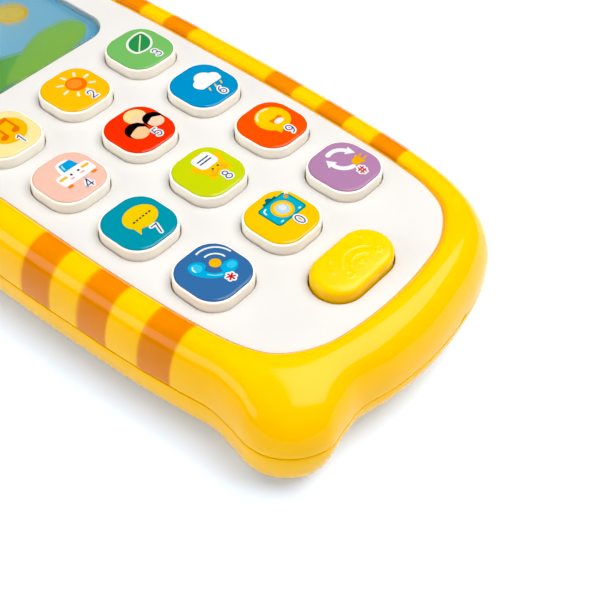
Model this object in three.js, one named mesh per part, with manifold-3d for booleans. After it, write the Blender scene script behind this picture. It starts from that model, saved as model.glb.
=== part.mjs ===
// Toy cell phone: two moulded case shells, a white face plate with thirteen
// push buttons, a picture window, a speaker, a slide switch and a battery bay.
// Millimetres. +X across the face, +Y towards the earpiece end, +Z out of the face.
import * as THREE from "three";
import Module from "manifold-3d";

const wasm = await Module();
wasm.setup();
const { Manifold, Mesh: MMesh } = wasm;

// ---- driving dimensions ----
const SEAM_Z = 12; // parting line between the shells
const SEAM_GAP = 0.3;
const FACE_Z = 22; // top of the white face plate
const CREST_Z = 23.2; // top of the rounded rim around it
const CREST_IN = 1.9; // distance from the opening's edge to the crest
const WALL = 2.2; // moulded wall
const UPPER_N = 2.2; // roundness of the upper side wall
const LOWER_N = 2.5;
const LOWER_INSET = 9; // how far the flat base sits inside the outline at the sides
const END_INSET = 14; // and at the two ends
const ROOF_Z = 20.6; // inside of the upper shell at the opening
const PLATE_BOTTOM = 20.3; // underside of the face plate
const SKIRT_BOTTOM = 18.8;
const PITCH = 20; // button spacing
const ROW0_Y = -25; // y of the row 7 8 9
const CAP_HALF = 7.2;
const CAP_R = 5.2;
const CAP_TOP = 24.3;
const CAP_BOTTOM = 18.4;
const FLANGE_OUT = 1.3;
const FLANGE_Z = [18.7, 19.9];
const INLAY_HALF = 6.8;
const INLAY_R = 4.85;
const INLAY_Z = [24.0, 24.9];
const HOLE_GAP = 0.35;
const TRAVEL = 1.2; // button travel, used for the free height under a cap
const CALL_Y = -63; // wide button
const CALL_HALF = [9.9, 5.6];
const CALL_TOP = 25.3;
const LENS = { y: 45.5, hx: 23.5, hy: 16.5, r: 6 };
const EAR_Y = 68.4;
const BOARD_Z = [13.6, 15.0];
const PAD_TOP = CAP_BOTTOM - TRAVEL - 0.2;
const SHEET_Z = [15.3, 16.0];
const BOSS_XY = [
  [19, -61],
  [-19, -61],
  [18.5, 66.4],
  [-18.5, 66.4],
];
const SPK = { y: -40, r: 18 };
const BAY = { x: 11.6, y0: 15, y1: 65, roof: [12.6, 13.3] };
const DOOR = { x: 13.2, y0: 5.8, y1: 66.2, z0: 0.3, z1: 1.6 };
const DOOR_SCREW_Y = 9.5;
const CELL = { x: 5.6, r: 5.2, z: 7.15, y0: 18.3, y1: 61.9, nub: 0.8 };
const SWITCH_Y = -4;

// ---- outlines: outer parting line and face opening, point for point ----
// Right half from the base centre up to mid length; the top end mirrors it.
const RIGHT = [
  [[0, -84], [0, -73.8]],
  [[10, -83.2], [8.8, -73.3]],
  [[20, -81.2], [17.0, -71.8]],
  [[27.6, -77.8], [22.4, -69.1]],
  [[33.1, -71.8], [26.2, -65.7]],
  [[36.7, -63.4], [28.9, -59.8]],
  [[38.7, -53], [30.3, -51.8]],
  [[39.7, -43], [31.1, -43]],
  [[40.6, -26.6], [31.9, -26.3]],
  [[41.1, -12.4], [32.1, -12.4]],
  [[41.2, 0], [32.15, 0]],
];
// Left half from mid length down to the base centre, with the rounded foot.
const FOOT = [
  [[-41.1, -12.4], [-32.1, -12.4]],
  [[-40.6, -26.6], [-31.9, -26.3]],
  [[-39.7, -43], [-31.1, -43]],
  [[-38.6, -53], [-30.3, -51.8]],
  [[-37.8, -60], [-29.4, -57.7]],
  [[-38.5, -66], [-28.6, -60.6]],
  [[-39.4, -71], [-27.8, -62.8]],
  [[-38.5, -75.6], [-26.7, -65.0]],
  [[-35.0, -80.1], [-24.9, -67.1]],
  [[-30.0, -82.4], [-22.4, -69.1]],
  [[-24.8, -81.8], [-19.8, -70.6]],
  [[-19.6, -81.2], [-16.6, -71.9]],
  [[-10, -83.2], [-8.8, -73.3]],
];
const mirrorY = (list) => list.map(([o, i]) => [[o[0], -o[1]], [i[0], -i[1]]]);
const mirrorX = (list) => list.map(([o, i]) => [[-o[0], o[1]], [-i[0], i[1]]]);
const PAIRS = [
  ...RIGHT,
  ...mirrorY(RIGHT.slice(0, 10)).reverse(),
  ...mirrorX(mirrorY(RIGHT.slice(1, 11))),
  ...FOOT,
];
// finer steps where the outline bends
const bends = (i) => {
  const a = PAIRS[i][0],
    b = PAIRS[(i + 1) % PAIRS.length][0];
  return Math.max(Math.abs(a[1]), Math.abs(b[1])) > 54 ? 2 : 1;
};
function sample(k) {
  const c = new THREE.CatmullRomCurve3(
    PAIRS.map((p) => new THREE.Vector3(p[k][0], p[k][1], 0)),
    true,
    "centripetal",
  );
  const out = [];
  PAIRS.forEach((_, i) => {
    const steps = bends(i);
    for (let j = 0; j < steps; j++) {
      const p = c.getPoint((i + j / steps) / PAIRS.length);
      out.push([p.x, p.y]);
    }
  });
  return out;
}
const OUTER = sample(0);
const INNER = sample(1);

// ---- helpers ----
function solid(geometry) {
  const g = geometry.index ? geometry.toNonIndexed() : geometry;
  const src = g.getAttribute("position");
  const key = new Map();
  const pos = [];
  const tri = [];
  for (let i = 0; i < src.count; i++) {
    const p = [src.getX(i), src.getY(i), src.getZ(i)];
    const k = p.map((v) => Math.round(v * 1e4)).join();
    if (!key.has(k)) {
      key.set(k, pos.length / 3);
      pos.push(...p);
    }
    tri.push(key.get(k));
  }
  const ok = [];
  for (let i = 0; i < tri.length; i += 3) {
    const [a, b, c] = tri.slice(i, i + 3);
    if (a !== b && b !== c && a !== c) ok.push(a, b, c);
  }
  let vol = 0;
  for (let i = 0; i < ok.length; i += 3) {
    const [a, b, c] = ok.slice(i, i + 3).map((v) => new THREE.Vector3().fromArray(pos, v * 3));
    vol += a.dot(b.cross(c));
  }
  if (vol < 0) for (let i = 0; i < ok.length; i += 3) [ok[i + 1], ok[i + 2]] = [ok[i + 2], ok[i + 1]];
  return new Manifold(
    new MMesh({ numProp: 3, vertProperties: new Float32Array(pos), triVerts: new Uint32Array(ok) }),
  );
}
function geometryOf(m) {
  const mesh = m.getMesh();
  const v = new Float32Array(mesh.numVert * 3);
  for (let i = 0; i < mesh.numVert; i++)
    v.set(mesh.vertProperties.subarray(i * mesh.numProp, i * mesh.numProp + 3), i * 3);
  const g = new THREE.BufferGeometry();
  g.setAttribute("position", new THREE.BufferAttribute(v, 3));
  g.setIndex(new THREE.BufferAttribute(new Uint32Array(mesh.triVerts), 1));
  g.computeVertexNormals();
  return g;
}
function loft(rings) {
  const n = rings[0].pts.length;
  const pos = [];
  const tri = [];
  for (const r of rings) for (const [x, y] of r.pts) pos.push(x, y, r.z);
  for (let k = 0; k + 1 < rings.length; k++)
    for (let i = 0; i < n; i++) {
      const a = k * n + i,
        b = k * n + ((i + 1) % n);
      tri.push(a, b, b + n, a, b + n, a + n);
    }
  const cap = (k, flip) => {
    const pts = rings[k].pts.map(([x, y]) => new THREE.Vector2(x, y));
    for (const f of THREE.ShapeUtils.triangulateShape(pts, [])) {
      const t = f.map((v) => v + k * n);
      tri.push(...(flip ? [t[0], t[2], t[1]] : t));
    }
  };
  cap(0, true);
  cap(rings.length - 1, false);
  const g = new THREE.BufferGeometry();
  g.setAttribute("position", new THREE.BufferAttribute(new Float32Array(pos), 3));
  g.setIndex(tri);
  return solid(g);
}
function extrude(pts, z0, z1) {
  return loft([
    { pts, z: z0 },
    { pts, z: z1 },
  ]);
}
function offset(pts, d) {
  const n = pts.length;
  return pts.map((p, i) => {
    const a = pts[(i + n - 1) % n],
      b = pts[(i + 1) % n];
    const tx = b[0] - a[0],
      ty = b[1] - a[1],
      l = Math.hypot(tx, ty);
    return [p[0] + (ty / l) * d, p[1] - (tx / l) * d];
  });
}
function roundedRect(hx, hy, r, cx = 0, cy = 0, seg = 3) {
  const out = [];
  const corners = [
    [cx + hx - r, cy + hy - r, 0],
    [cx - hx + r, cy + hy - r, 90],
    [cx - hx + r, cy - hy + r, 180],
    [cx + hx - r, cy - hy + r, 270],
  ];
  for (const [x, y, a0] of corners)
    for (let i = 0; i <= seg; i++) {
      const a = ((a0 + (90 * i) / seg) * Math.PI) / 180;
      out.push([x + r * Math.cos(a), y + r * Math.sin(a)]);
    }
  return out.filter((p, i) => {
    const q = out[(i + 1) % out.length];
    return Math.hypot(p[0] - q[0], p[1] - q[1]) > 1e-6;
  });
}
function box(x0, x1, y0, y1, z0, z1) {
  const g = new THREE.BoxGeometry(x1 - x0, y1 - y0, z1 - z0);
  g.translate((x0 + x1) / 2, (y0 + y1) / 2, (z0 + z1) / 2);
  return solid(g);
}
function cyl(r, z0, z1, x = 0, y = 0, seg = 20) {
  const g = new THREE.CylinderGeometry(r, r, z1 - z0, seg);
  g.rotateX(Math.PI / 2);
  g.translate(x, y, (z0 + z1) / 2);
  return solid(g);
}
function lathe(profile, seg = 32, x = 0, y = 0) {
  const g = new THREE.LatheGeometry(
    profile.map(([r, z]) => new THREE.Vector2(r, z)),
    seg,
  );
  g.rotateX(Math.PI / 2); // lathe axis Y to Z
  g.translate(x, y, 0);
  return solid(g);
}
const union = (...a) => Manifold.union(a);
const cut = (a, ...b) => Manifold.difference([a, ...b]);

const group = new THREE.Group();
const mats = {};
function mat(name, color, roughness, metalness = 0, opacity = 1) {
  mats[name] = new THREE.MeshStandardMaterial({
    color,
    roughness,
    metalness,
    opacity,
    transparent: opacity < 1,
  });
  return mats[name];
}
const YELLOW = mat("yellow", 0xffcc00, 0.2);
const WHITE = mat("white", 0xf7f3ef, 0.45);
const CAPWHITE = mat("cap", 0xf0ece2, 0.4);
const CLEAR = mat("clear", 0xe8f2f6, 0.05, 0, 0.4);
const CARD = mat("card", 0x9fd8ee, 0.7);
const GREEN = mat("board", 0x2e7a46, 0.5);
const BLACK = mat("black", 0x1a1a1c, 0.6);
const STEEL = mat("steel", 0xb9bcc0, 0.3, 1);
const RUBBER = mat("silicone", 0xd9dcde, 0.7);
const LED = mat("led", 0xfff6e0, 0.15);
const PAPER = mat("paper", 0x2b2b2e, 0.8);
const RED = mat("red", 0xc62222, 0.5);
const CELLMAT = mat("cell", 0x2f6f9f, 0.35);
function add(name, manifold, material) {
  const m = new THREE.Mesh(geometryOf(manifold), material);
  m.name = name;
  group.add(m);
}

// ---- case shells ----
const dist = OUTER.map((o, i) => Math.hypot(o[0] - INNER[i][0], o[1] - INNER[i][1]));
// ring whose points lie at millimetre distance fromOuter(i) in from the parting outline
const ringIn = (f) =>
  OUTER.map((o, i) => {
    const s = f(i) / dist[i];
    return [o[0] + (INNER[i][0] - o[0]) * s, o[1] + (INNER[i][1] - o[1]) * s];
  });
const se = (deg, n) => {
  const a = (deg * Math.PI) / 180;
  return [Math.cos(a) ** (2 / n), Math.sin(a) ** (2 / n)];
};
function upperOuter() {
  const rings = [];
  for (const d of [0, 12, 26, 42, 58, 74, 90]) {
    const [c, s] = d === 0 ? [1, 0] : d === 90 ? [0, 1] : se(d, UPPER_N);
    rings.push({
      pts: ringIn((i) => (dist[i] - CREST_IN) * (1 - c)),
      z: SEAM_Z + SEAM_GAP / 2 + (CREST_Z - SEAM_Z - SEAM_GAP / 2) * s,
    });
  }
  rings.push({ pts: ringIn((i) => dist[i] - 0.7), z: CREST_Z - 0.35 });
  rings.push({ pts: ringIn((i) => dist[i]), z: FACE_Z + 0.1 });
  return loft(rings);
}
function upperCavity() {
  const rings = [{ pts: ringIn(() => WALL), z: SEAM_Z - 1 }];
  for (const d of [0, 30, 60, 90]) {
    const [c, s] = d === 0 ? [1, 0] : d === 90 ? [0, 1] : se(d, 3);
    rings.push({
      pts: ringIn((i) => WALL + (dist[i] - WALL) * (1 - c)),
      z: SEAM_Z + (ROOF_Z - SEAM_Z) * s,
    });
  }
  return loft(rings);
}
const bossSpots = BOSS_XY;
// small pry notch across the parting line, in the end wall right of the middle
function pryNotch() {
  const g = new THREE.CylinderGeometry(1.25, 1.25, 2.8, 12);
  g.scale(1, 1, 0.5);
  g.rotateZ((9 * Math.PI) / 180); // its axis points straight out of the wall
  g.translate(11.6, -82.95, SEAM_Z);
  return solid(g);
}
const upper = cut(upperOuter(), upperCavity(), extrude(INNER, ROOF_Z - 2, FACE_Z + 5), pryNotch());
add("upper_shell", upper, YELLOW);

const smooth = (v, a, b) => {
  const t = Math.min(1, Math.max(0, (v - a) / (b - a)));
  return t * t * (3 - 2 * t);
};
// 0 along the sides and round the foot, 1 at the two ends, which sweep up more
const endness = OUTER.map(([x, y]) => smooth(Math.abs(y), 64, 80) * (y < 0 && x < 0 ? smooth(x, -34, -25) : 1));
const inset = (i) => LOWER_INSET + (END_INSET - LOWER_INSET) * endness[i];
function lowerOuter() {
  const rings = [];
  const top = SEAM_Z - SEAM_GAP / 2;
  for (const d of [90, 68, 50, 34, 17, 0]) {
    const [c, s] = d === 0 ? [1, 0] : d === 90 ? [0, 1] : se(d, LOWER_N);
    // the ends are rounder: their section is closer to an ellipse
    const cEnd = s >= 1 ? 0 : Math.sqrt(Math.max(0, 1 - s * s));
    rings.push({
      pts: ringIn((i) => inset(i) * (1 - (c + (cEnd - c) * endness[i]))),
      z: top * (1 - s),
    });
  }
  return loft(rings);
}
function lowerCavity() {
  const rings = [];
  for (const d of [90, 60, 30, 0]) {
    const [c, s] = d === 0 ? [1, 0] : d === 90 ? [0, 1] : se(d, 3);
    rings.push({
      pts: ringIn((i) => WALL + (inset(i) - 1.2) * (1 - c) + 1.6 * endness[i] * (1 - c)),
      z: WALL + (SEAM_Z - WALL) * (1 - s),
    });
  }
  rings.push({ pts: ringIn(() => WALL), z: SEAM_Z + 1 });
  return loft(rings);
}
const grille = [];
for (const [count, r] of [[1, 0], [6, 5], [12, 10]])
  for (let i = 0; i < count; i++) {
    const a = (i / count) * 2 * Math.PI;
    grille.push(cyl(1.1, -1, WALL + 1, r * Math.cos(a), SPK.y + r * Math.sin(a), 6));
  }
const postSpots = [
  [24.5, -51.5],
  [-24.5, -51.5],
  [24.5, 6],
  [-24.5, 6],
];
const slotX = 1.8;
const lower = cut(
  union(
    cut(lowerOuter(), lowerCavity()),
    ...bossSpots.map(([x, y]) => cyl(4.1, 1.2, SEAM_Z - SEAM_GAP / 2, x, y, 20)),
    ...postSpots.map(([x, y]) => cyl(2, 1.2, BOARD_Z[0] - 0.3, x, y, 12)),
    cut(cyl(SPK.r + 1.7, 1.2, 5.4, 0, SPK.y, 32), cyl(SPK.r + 0.4, 1, 6, 0, SPK.y, 32)),
    box(-14.8, 14.8, 2.6, 68, 0.0, 1.5),
    box(-12.8, 12.8, 2.6, 66.4, 1.0, BAY.roof[1]),
    box(-14.8, 14.8, 2.6, 68, 1.0, 3.0),
    box(-9.5, 9.5, SWITCH_Y - 5.5, SWITCH_Y + 5.5, 1.0, 4.2),
  ),
  ...bossSpots.map(([x, y]) => cyl(3.2, -1, 5.0, x, y, 16)),
  ...bossSpots.map(([x, y]) => cyl(1.6, 4, SEAM_Z + 1, x, y, 12)),
  ...grille,
  box(-BAY.x, BAY.x, BAY.y0, BAY.y1, -1, BAY.roof[0]), // battery bay
  box(-DOOR.x - 0.4, DOOR.x + 0.4, DOOR.y0 - 0.4, DOOR.y1 + 0.4, -1, DOOR.z1 + 0.3), // door recess
  cyl(5.1, -1, 4.9, 0, DOOR_SCREW_Y, 24),
  cyl(1.6, 4, 11.5, 0, DOOR_SCREW_Y, 12),
  box(-CELL.x - slotX, -CELL.x + slotX, BAY.y0, BAY.y0 + 1.1, 12, 14), // contact tab slots
  box(CELL.x - slotX, CELL.x + slotX, BAY.y0, BAY.y0 + 1.1, 12, 14),
  box(-6.3, 6.3, SWITCH_Y - 3.1, SWITCH_Y + 3.1, -1, 2.4), // switch recess
  box(-4.3, 4.3, SWITCH_Y - 1.6, SWITCH_Y + 1.6, 2, 5),
  pryNotch(),
);
add("lower_shell", lower, YELLOW);

// ---- face plate ----
const buttons = [];
const rows = [
  ["1", "2", "3"],
  ["4", "5", "6"],
  ["7", "8", "9"],
  ["star", "0", "hash"],
];
rows.forEach((row, r) =>
  row.forEach((id, c) => buttons.push({ id, x: (c - 1) * PITCH, y: ROW0_Y + (2 - r) * PITCH })),
);
const stadium = (hx, hy, y) => roundedRect(hx, hy, hy - 1e-3, 0, y, 6);
const plate = cut(
  union(
    extrude(offset(INNER, -0.3), PLATE_BOTTOM - 0.1, FACE_Z),
    cut(
      extrude(offset(INNER, 1.5), SKIRT_BOTTOM, PLATE_BOTTOM),
      extrude(offset(INNER, -1.9), SKIRT_BOTTOM - 1, PLATE_BOTTOM + 0.05),
    ),
    ...bossSpots.map(([x, y]) => cyl(2.6, SEAM_Z + 0.4, PLATE_BOTTOM + 0.3, x, y, 14)),
  ),
  ...bossSpots.map(([x, y]) => cyl(1.6, SEAM_Z - 1, 18.5, x, y, 10)),
  ...buttons.map((b) =>
    extrude(roundedRect(CAP_HALF + HOLE_GAP, CAP_HALF + HOLE_GAP, CAP_R + HOLE_GAP, b.x, b.y), 18, 24),
  ),
  extrude(stadium(CALL_HALF[0] + HOLE_GAP, CALL_HALF[1] + HOLE_GAP, CALL_Y), 18, 24),
  extrude(roundedRect(LENS.hx + 0.3, LENS.hy + 0.3, LENS.r + 0.3, 0, LENS.y), 18, 24),
  extrude(stadium(7, 0.9, EAR_Y), 18, 24),
);
add("face_panel", plate, WHITE);
add("screen_lens", extrude(roundedRect(LENS.hx, LENS.hy, LENS.r, 0, LENS.y), 20.5, 21.9), CLEAR);
add("screen_card", extrude(roundedRect(LENS.hx + 1.2, LENS.hy + 1.2, LENS.r, 0, LENS.y), 19.3, 19.9), CARD);

// ---- buttons ----
const INLAY_COLOURS = {
  1: 0xffeeaa, 2: 0xffc523, 3: 0x7cc46a, 4: 0xfccdb9, 5: 0xfa3200, 6: 0x0899d0,
  7: 0x009bb4, 8: 0xd7e128, 9: 0xff5a00, 0: 0xffcd00, star: 0x326eaf, hash: 0xbe8cb4,
};
for (const b of buttons) {
  const cap = cut(
    union(
      extrude(roundedRect(CAP_HALF, CAP_HALF, CAP_R, b.x, b.y), CAP_BOTTOM, CAP_TOP),
      extrude(
        roundedRect(CAP_HALF + FLANGE_OUT, CAP_HALF + FLANGE_OUT, CAP_R, b.x, b.y, 3),
        FLANGE_Z[0],
        FLANGE_Z[1],
      ),
    ),
    extrude(roundedRect(INLAY_HALF + 0.12, INLAY_HALF + 0.12, INLAY_R + 0.12, b.x, b.y), CAP_TOP - 0.6, CAP_TOP + 1),
  );
  add("key_" + b.id, cap, CAPWHITE);
  add(
    "label_" + b.id,
    extrude(roundedRect(INLAY_HALF, INLAY_HALF, INLAY_R, b.x, b.y), INLAY_Z[0], INLAY_Z[1]),
    mat("inlay_" + b.id, INLAY_COLOURS[b.id], 0.2),
  );
}
add(
  "call_button",
  union(
    extrude(stadium(CALL_HALF[0], CALL_HALF[1], CALL_Y), CAP_BOTTOM, CALL_TOP),
    extrude(stadium(CALL_HALF[0] + FLANGE_OUT, CALL_HALF[1] + FLANGE_OUT, CALL_Y), FLANGE_Z[0], FLANGE_Z[1]),
  ),
  YELLOW,
);

// ---- contact sheet and boards ----
const boardShape = (d) => [
  [27 - d, 26 - d], [-27 + d, 26 - d], [-27 + d, -55 + d], [-14.5 + d, -57 + d], [-14.5 + d, -70.5 + d],
  [14.5 - d, -70.5 + d], [14.5 - d, -57 + d], [27 - d, -55 + d],
];
add(
  "keypad_membrane",
  union(
    extrude(boardShape(0.6).map(([x, y]) => [x, Math.min(y, 23)]), SHEET_Z[0], SHEET_Z[1]),
    ...buttons.map((b) => cyl(3.2, SHEET_Z[0] + 0.2, PAD_TOP, b.x, b.y, 10)),
    cyl(3.2, SHEET_Z[0] + 0.2, PAD_TOP, 0, CALL_Y, 10),
  ),
  RUBBER,
);
add("main_board", extrude(boardShape(0), BOARD_Z[0], BOARD_Z[1]), GREEN);
add("led_board", box(-20, 20, 29, 62, BOARD_Z[0], BOARD_Z[1]), GREEN);
add(
  "controller_blob",
  lathe([[0, 13.3], [5, 13.3], [4.7, 12.5], [3.6, 11.6], [1.8, 11.1], [0, 11.0]].map(([r, z]) => [r, z]), 16, 15, -12),
  BLACK,
);
for (const [side, x] of [["left", -12], ["right", 12]])
  add(
    "led_" + side,
    lathe([[0, 15.3], [1.9, 15.3], [1.9, 16.0], [1.5, 16.0], [1.5, 17.4], [1.1, 18.2], [0, 18.6]], 10, x, LENS.y),
    LED,
  );
function wire(name, pts, r, material) {
  const shape = new THREE.Shape(
    Array.from({ length: 6 }, (_, i) => new THREE.Vector2(r * Math.cos((i * Math.PI) / 3), r * Math.sin((i * Math.PI) / 3))),
  );
  const curve = new THREE.CatmullRomCurve3(pts.map((p) => new THREE.Vector3(...p)));
  add(name, solid(new THREE.ExtrudeGeometry(shape, { steps: 12, extrudePath: curve, bevelEnabled: false })), material);
}
for (const [colour, x, material] of [["red", -4, RED], ["black", 4, BLACK]]) {
  wire("link_wire_" + colour, [[x, 24.5, 15.7], [x, 26.2, 17.0], [x, 28.8, 17.0], [x, 30.5, 15.7]], 0.35, material);
  wire("speaker_wire_" + colour, [[x, -23.2, 4.9], [x, -22.9, 6.6], [x, -20.5, 10.0], [x, -18.4, 13.2]], 0.5, material);
}

// ---- speaker, facing the back ----
add(
  "speaker_frame",
  lathe([[0, 9.0], [8.6, 9.0], [15.6, 4.2], [18, 4.2], [18, 2.6], [14.7, 2.6], [14.7, 3.7], [8.0, 8.2], [0, 8.2]], 32, 0, SPK.y),
  BLACK,
);
add("speaker_magnet", cyl(8, 9.3, 12.9, 0, SPK.y, 24), STEEL);
add(
  "speaker_cone",
  lathe([[0, 6.4], [5.5, 6.2], [13.4, 3.7], [14.1, 3.7], [14.1, 3.1], [13.0, 3.1], [5.2, 5.6], [0, 5.8]], 32, 0, SPK.y),
  PAPER,
);

// ---- slide switch in the base ----
add(
  "switch_knob",
  union(
    box(-3.2, 3.2, SWITCH_Y - 2.6, SWITCH_Y + 2.6, 0.4, 2.0),
    box(-1.2, 1.2, SWITCH_Y - 1.1, SWITCH_Y + 1.1, 1.9, 6.6),
  ),
  BLACK,
);
add(
  "switch_body",
  cut(box(-5.6, 5.6, SWITCH_Y - 3.4, SWITCH_Y + 3.4, 4.5, 9.8), box(-4.3, 4.3, SWITCH_Y - 1.6, SWITCH_Y + 1.6, 4, 7.2)),
  STEEL,
);

// ---- battery bay ----
const cross = (x, y, z) => [
  box(x - 1.5, x + 1.5, y - 0.35, y + 0.35, z - 1, z + 0.8),
  box(x - 0.35, x + 0.35, y - 1.5, y + 1.5, z - 1, z + 0.8),
];
add(
  "battery_door",
  cut(
    union(
      extrude(roundedRect(DOOR.x, (DOOR.y1 - DOOR.y0) / 2, 1.2, 0, (DOOR.y0 + DOOR.y1) / 2, 2), DOOR.z0, DOOR.z1),
      cyl(4.6, DOOR.z0, 4.5, 0, DOOR_SCREW_Y, 24),
    ),
    cyl(2.9, -1, 2.6, 0, DOOR_SCREW_Y, 20),
    cyl(1.7, 2, 5, 0, DOOR_SCREW_Y, 12),
  ),
  YELLOW,
);
add(
  "battery_door_screw",
  cut(
    union(cyl(2.5, 0.5, 2.3, 0, DOOR_SCREW_Y, 20), cyl(1.3, 2.2, 10.5, 0, DOOR_SCREW_Y, 12)),
    ...cross(0, DOOR_SCREW_Y, 0.5),
  ),
  STEEL,
);
function cell(name, x, up) {
  const len = CELL.y1 - CELL.y0;
  const g = new THREE.LatheGeometry(
    [[0, 0], [4.9, 0], [CELL.r, 0.3], [CELL.r, len - 0.3], [4.9, len], [1.9, len], [1.9, len + CELL.nub], [0, len + CELL.nub]].map(
      ([r, y]) => new THREE.Vector2(r, y),
    ),
    24,
  );
  if (!up) g.rotateX(Math.PI);
  g.translate(x, up ? CELL.y0 : CELL.y1, CELL.z);
  add(name, solid(g), CELLMAT);
}
cell("battery_left", -CELL.x, false);
cell("battery_right", CELL.x, true);
const yDisc = (r, x, y0, y1) => {
  const g = new THREE.CylinderGeometry(r, r, y1 - y0, 12);
  g.translate(x, (y0 + y1) / 2, CELL.z);
  return solid(g);
};
add("contact_positive", union(box(-CELL.x - 4, -CELL.x + 4, 15.35, 15.8, 3.2, 12.2), box(-CELL.x - 1.4, -CELL.x + 1.4, 15.35, 15.8, 12, 13.3), yDisc(2.2, -CELL.x, 15.7, 17.1)), STEEL);
add("contact_negative", union(box(CELL.x - 4, CELL.x + 4, 15.35, 15.8, 3.2, 12.2), box(CELL.x - 1.4, CELL.x + 1.4, 15.35, 15.8, 12, 13.3), yDisc(3.4, CELL.x, 15.7, 17.9)), STEEL);
add("contact_bridge", union(box(-10.8, 10.8, 64.2, 64.6, 3.2, 12.2), yDisc(3.4, -CELL.x, 62.3, 64.3), yDisc(2.2, CELL.x, 63.1, 64.3)), STEEL);

// ---- case screws ----
bossSpots.forEach(([x, y], i) =>
  add(
    "case_screw_" + (i + 1),
    cut(union(cyl(2.7, 2.7, 4.7, x, y, 20), cyl(1.3, 4.6, 17.5, x, y, 10)), ...cross(x, y, 2.7)),
    STEEL,
  ),
);

export default group;
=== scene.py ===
# Toy cell phone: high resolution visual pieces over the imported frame.
# Coordinates below are millimetres in the part's frame and are scaled to metres when a mesh is made.
import bpy
import math
import numpy as np
from mathutils import Matrix, Vector
from mathutils.geometry import delaunay_2d_cdt, tessellate_polygon


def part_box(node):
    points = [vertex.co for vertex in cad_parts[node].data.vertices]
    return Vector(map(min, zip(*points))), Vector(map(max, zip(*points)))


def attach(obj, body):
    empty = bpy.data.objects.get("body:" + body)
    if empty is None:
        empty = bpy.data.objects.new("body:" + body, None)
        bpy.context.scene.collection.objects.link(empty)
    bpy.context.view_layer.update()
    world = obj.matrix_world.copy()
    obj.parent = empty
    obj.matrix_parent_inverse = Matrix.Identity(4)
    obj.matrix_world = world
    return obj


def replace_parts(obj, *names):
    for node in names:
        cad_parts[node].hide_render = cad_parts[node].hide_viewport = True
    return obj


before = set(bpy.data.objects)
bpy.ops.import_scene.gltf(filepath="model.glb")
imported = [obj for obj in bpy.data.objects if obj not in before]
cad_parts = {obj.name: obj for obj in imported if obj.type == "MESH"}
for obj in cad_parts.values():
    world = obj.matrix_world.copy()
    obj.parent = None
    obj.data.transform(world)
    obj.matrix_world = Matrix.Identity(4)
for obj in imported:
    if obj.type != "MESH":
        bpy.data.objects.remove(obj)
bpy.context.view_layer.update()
scene = bpy.context.scene
MM = 0.001

# ------------------------------------------------------------------ sizes
SEAM_Z, SEAM_GAP, FACE_Z, CREST_Z, CREST_IN, WALL = 12.0, 0.3, 22.0, 23.2, 1.9, 2.2
PITCH, ROW0_Y = 20.0, -25.0
CAP_HALF, CAP_R, CAP_TOP = 7.2, 5.2, 24.3
INLAY_HALF, INLAY_R = 6.83, 4.95
HOLE_GAP = 0.35
CALL_Y, CALL_HX, CALL_HY = -63.0, 9.9, 5.6
LENS_Y, LENS_HX, LENS_HY, LENS_R = 45.5, 23.5, 16.5, 6.0
BOSS_XY = [(-19, -61), (19, -61), (-18.5, 66.4), (18.5, 66.4)]
SPK_Y = -40.0
SWITCH_Y = -4.0
DOOR_SCREW_Y = 9.5
STRIPES = [(-51.0, -43.2), (-35.0, -27.5), (-19.8, -11.9)]
STRIPES = STRIPES + [(-b, -a) for a, b in reversed(STRIPES)]

RIGHT = [
    ((0, -84), (0, -73.8)), ((10, -83.2), (8.8, -73.3)), ((20, -81.2), (17.0, -71.8)),
    ((27.6, -77.8), (22.4, -69.1)), ((33.1, -71.8), (26.2, -65.7)), ((36.7, -63.4), (28.9, -59.8)),
    ((38.7, -53), (30.3, -51.8)), ((39.7, -43), (31.1, -43)), ((40.6, -26.6), (31.9, -26.3)),
    ((41.1, -12.4), (32.1, -12.4)), ((41.2, 0), (32.15, 0)),
]
FOOT = [
    ((-41.1, -12.4), (-32.1, -12.4)), ((-40.6, -26.6), (-31.9, -26.3)), ((-39.7, -43), (-31.1, -43)),
    ((-38.6, -53), (-30.3, -51.8)), ((-37.8, -60), (-29.4, -57.7)), ((-38.5, -66), (-28.6, -60.6)),
    ((-39.4, -71), (-27.8, -62.8)), ((-38.5, -75.6), (-26.7, -65.0)), ((-35.0, -80.1), (-24.9, -67.1)),
    ((-30.0, -82.4), (-22.4, -69.1)), ((-24.8, -81.8), (-19.8, -70.6)), ((-19.6, -81.2), (-16.6, -71.9)),
    ((-10, -83.2), (-8.8, -73.3)),
]


def mirror(pairs, sx, sy):
    return [((o[0] * sx, o[1] * sy), (i[0] * sx, i[1] * sy)) for o, i in pairs]


PAIRS = RIGHT + mirror(RIGHT[:10], 1, -1)[::-1] + mirror(RIGHT[1:11], -1, -1) + FOOT


def spline(pts, closed, steps):
    """Centripetal Catmull-Rom through pts."""
    p = [np.array(q, float) for q in pts]
    n, out = len(p), []
    for k in range(n if closed else n - 1):
        if closed:
            a, b, c, d = p[(k - 1) % n], p[k], p[(k + 1) % n], p[(k + 2) % n]
        else:
            b, c = p[k], p[k + 1]
            a = p[k - 1] if k else 2 * b - c
            d = p[k + 2] if k + 2 < n else 2 * c - b
        t0, t1, t2 = (max(1e-4, float(np.dot(v - u, v - u)) ** 0.25) for u, v in ((a, b), (b, c), (c, d)))
        m1 = ((b - a) / t0 - (c - a) / (t0 + t1) + (c - b) / t1) * t1
        m2 = ((c - b) / t1 - (d - b) / (t1 + t2) + (d - c) / t2) * t1
        for i in range(steps):
            w = i / steps
            out.append(b + m1 * w + (-3 * b + 3 * c - 2 * m1 - m2) * w ** 2 + (2 * b - 2 * c + m1 + m2) * w ** 3)
    if not closed:
        out.append(p[-1])
    return np.array(out)


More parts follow.
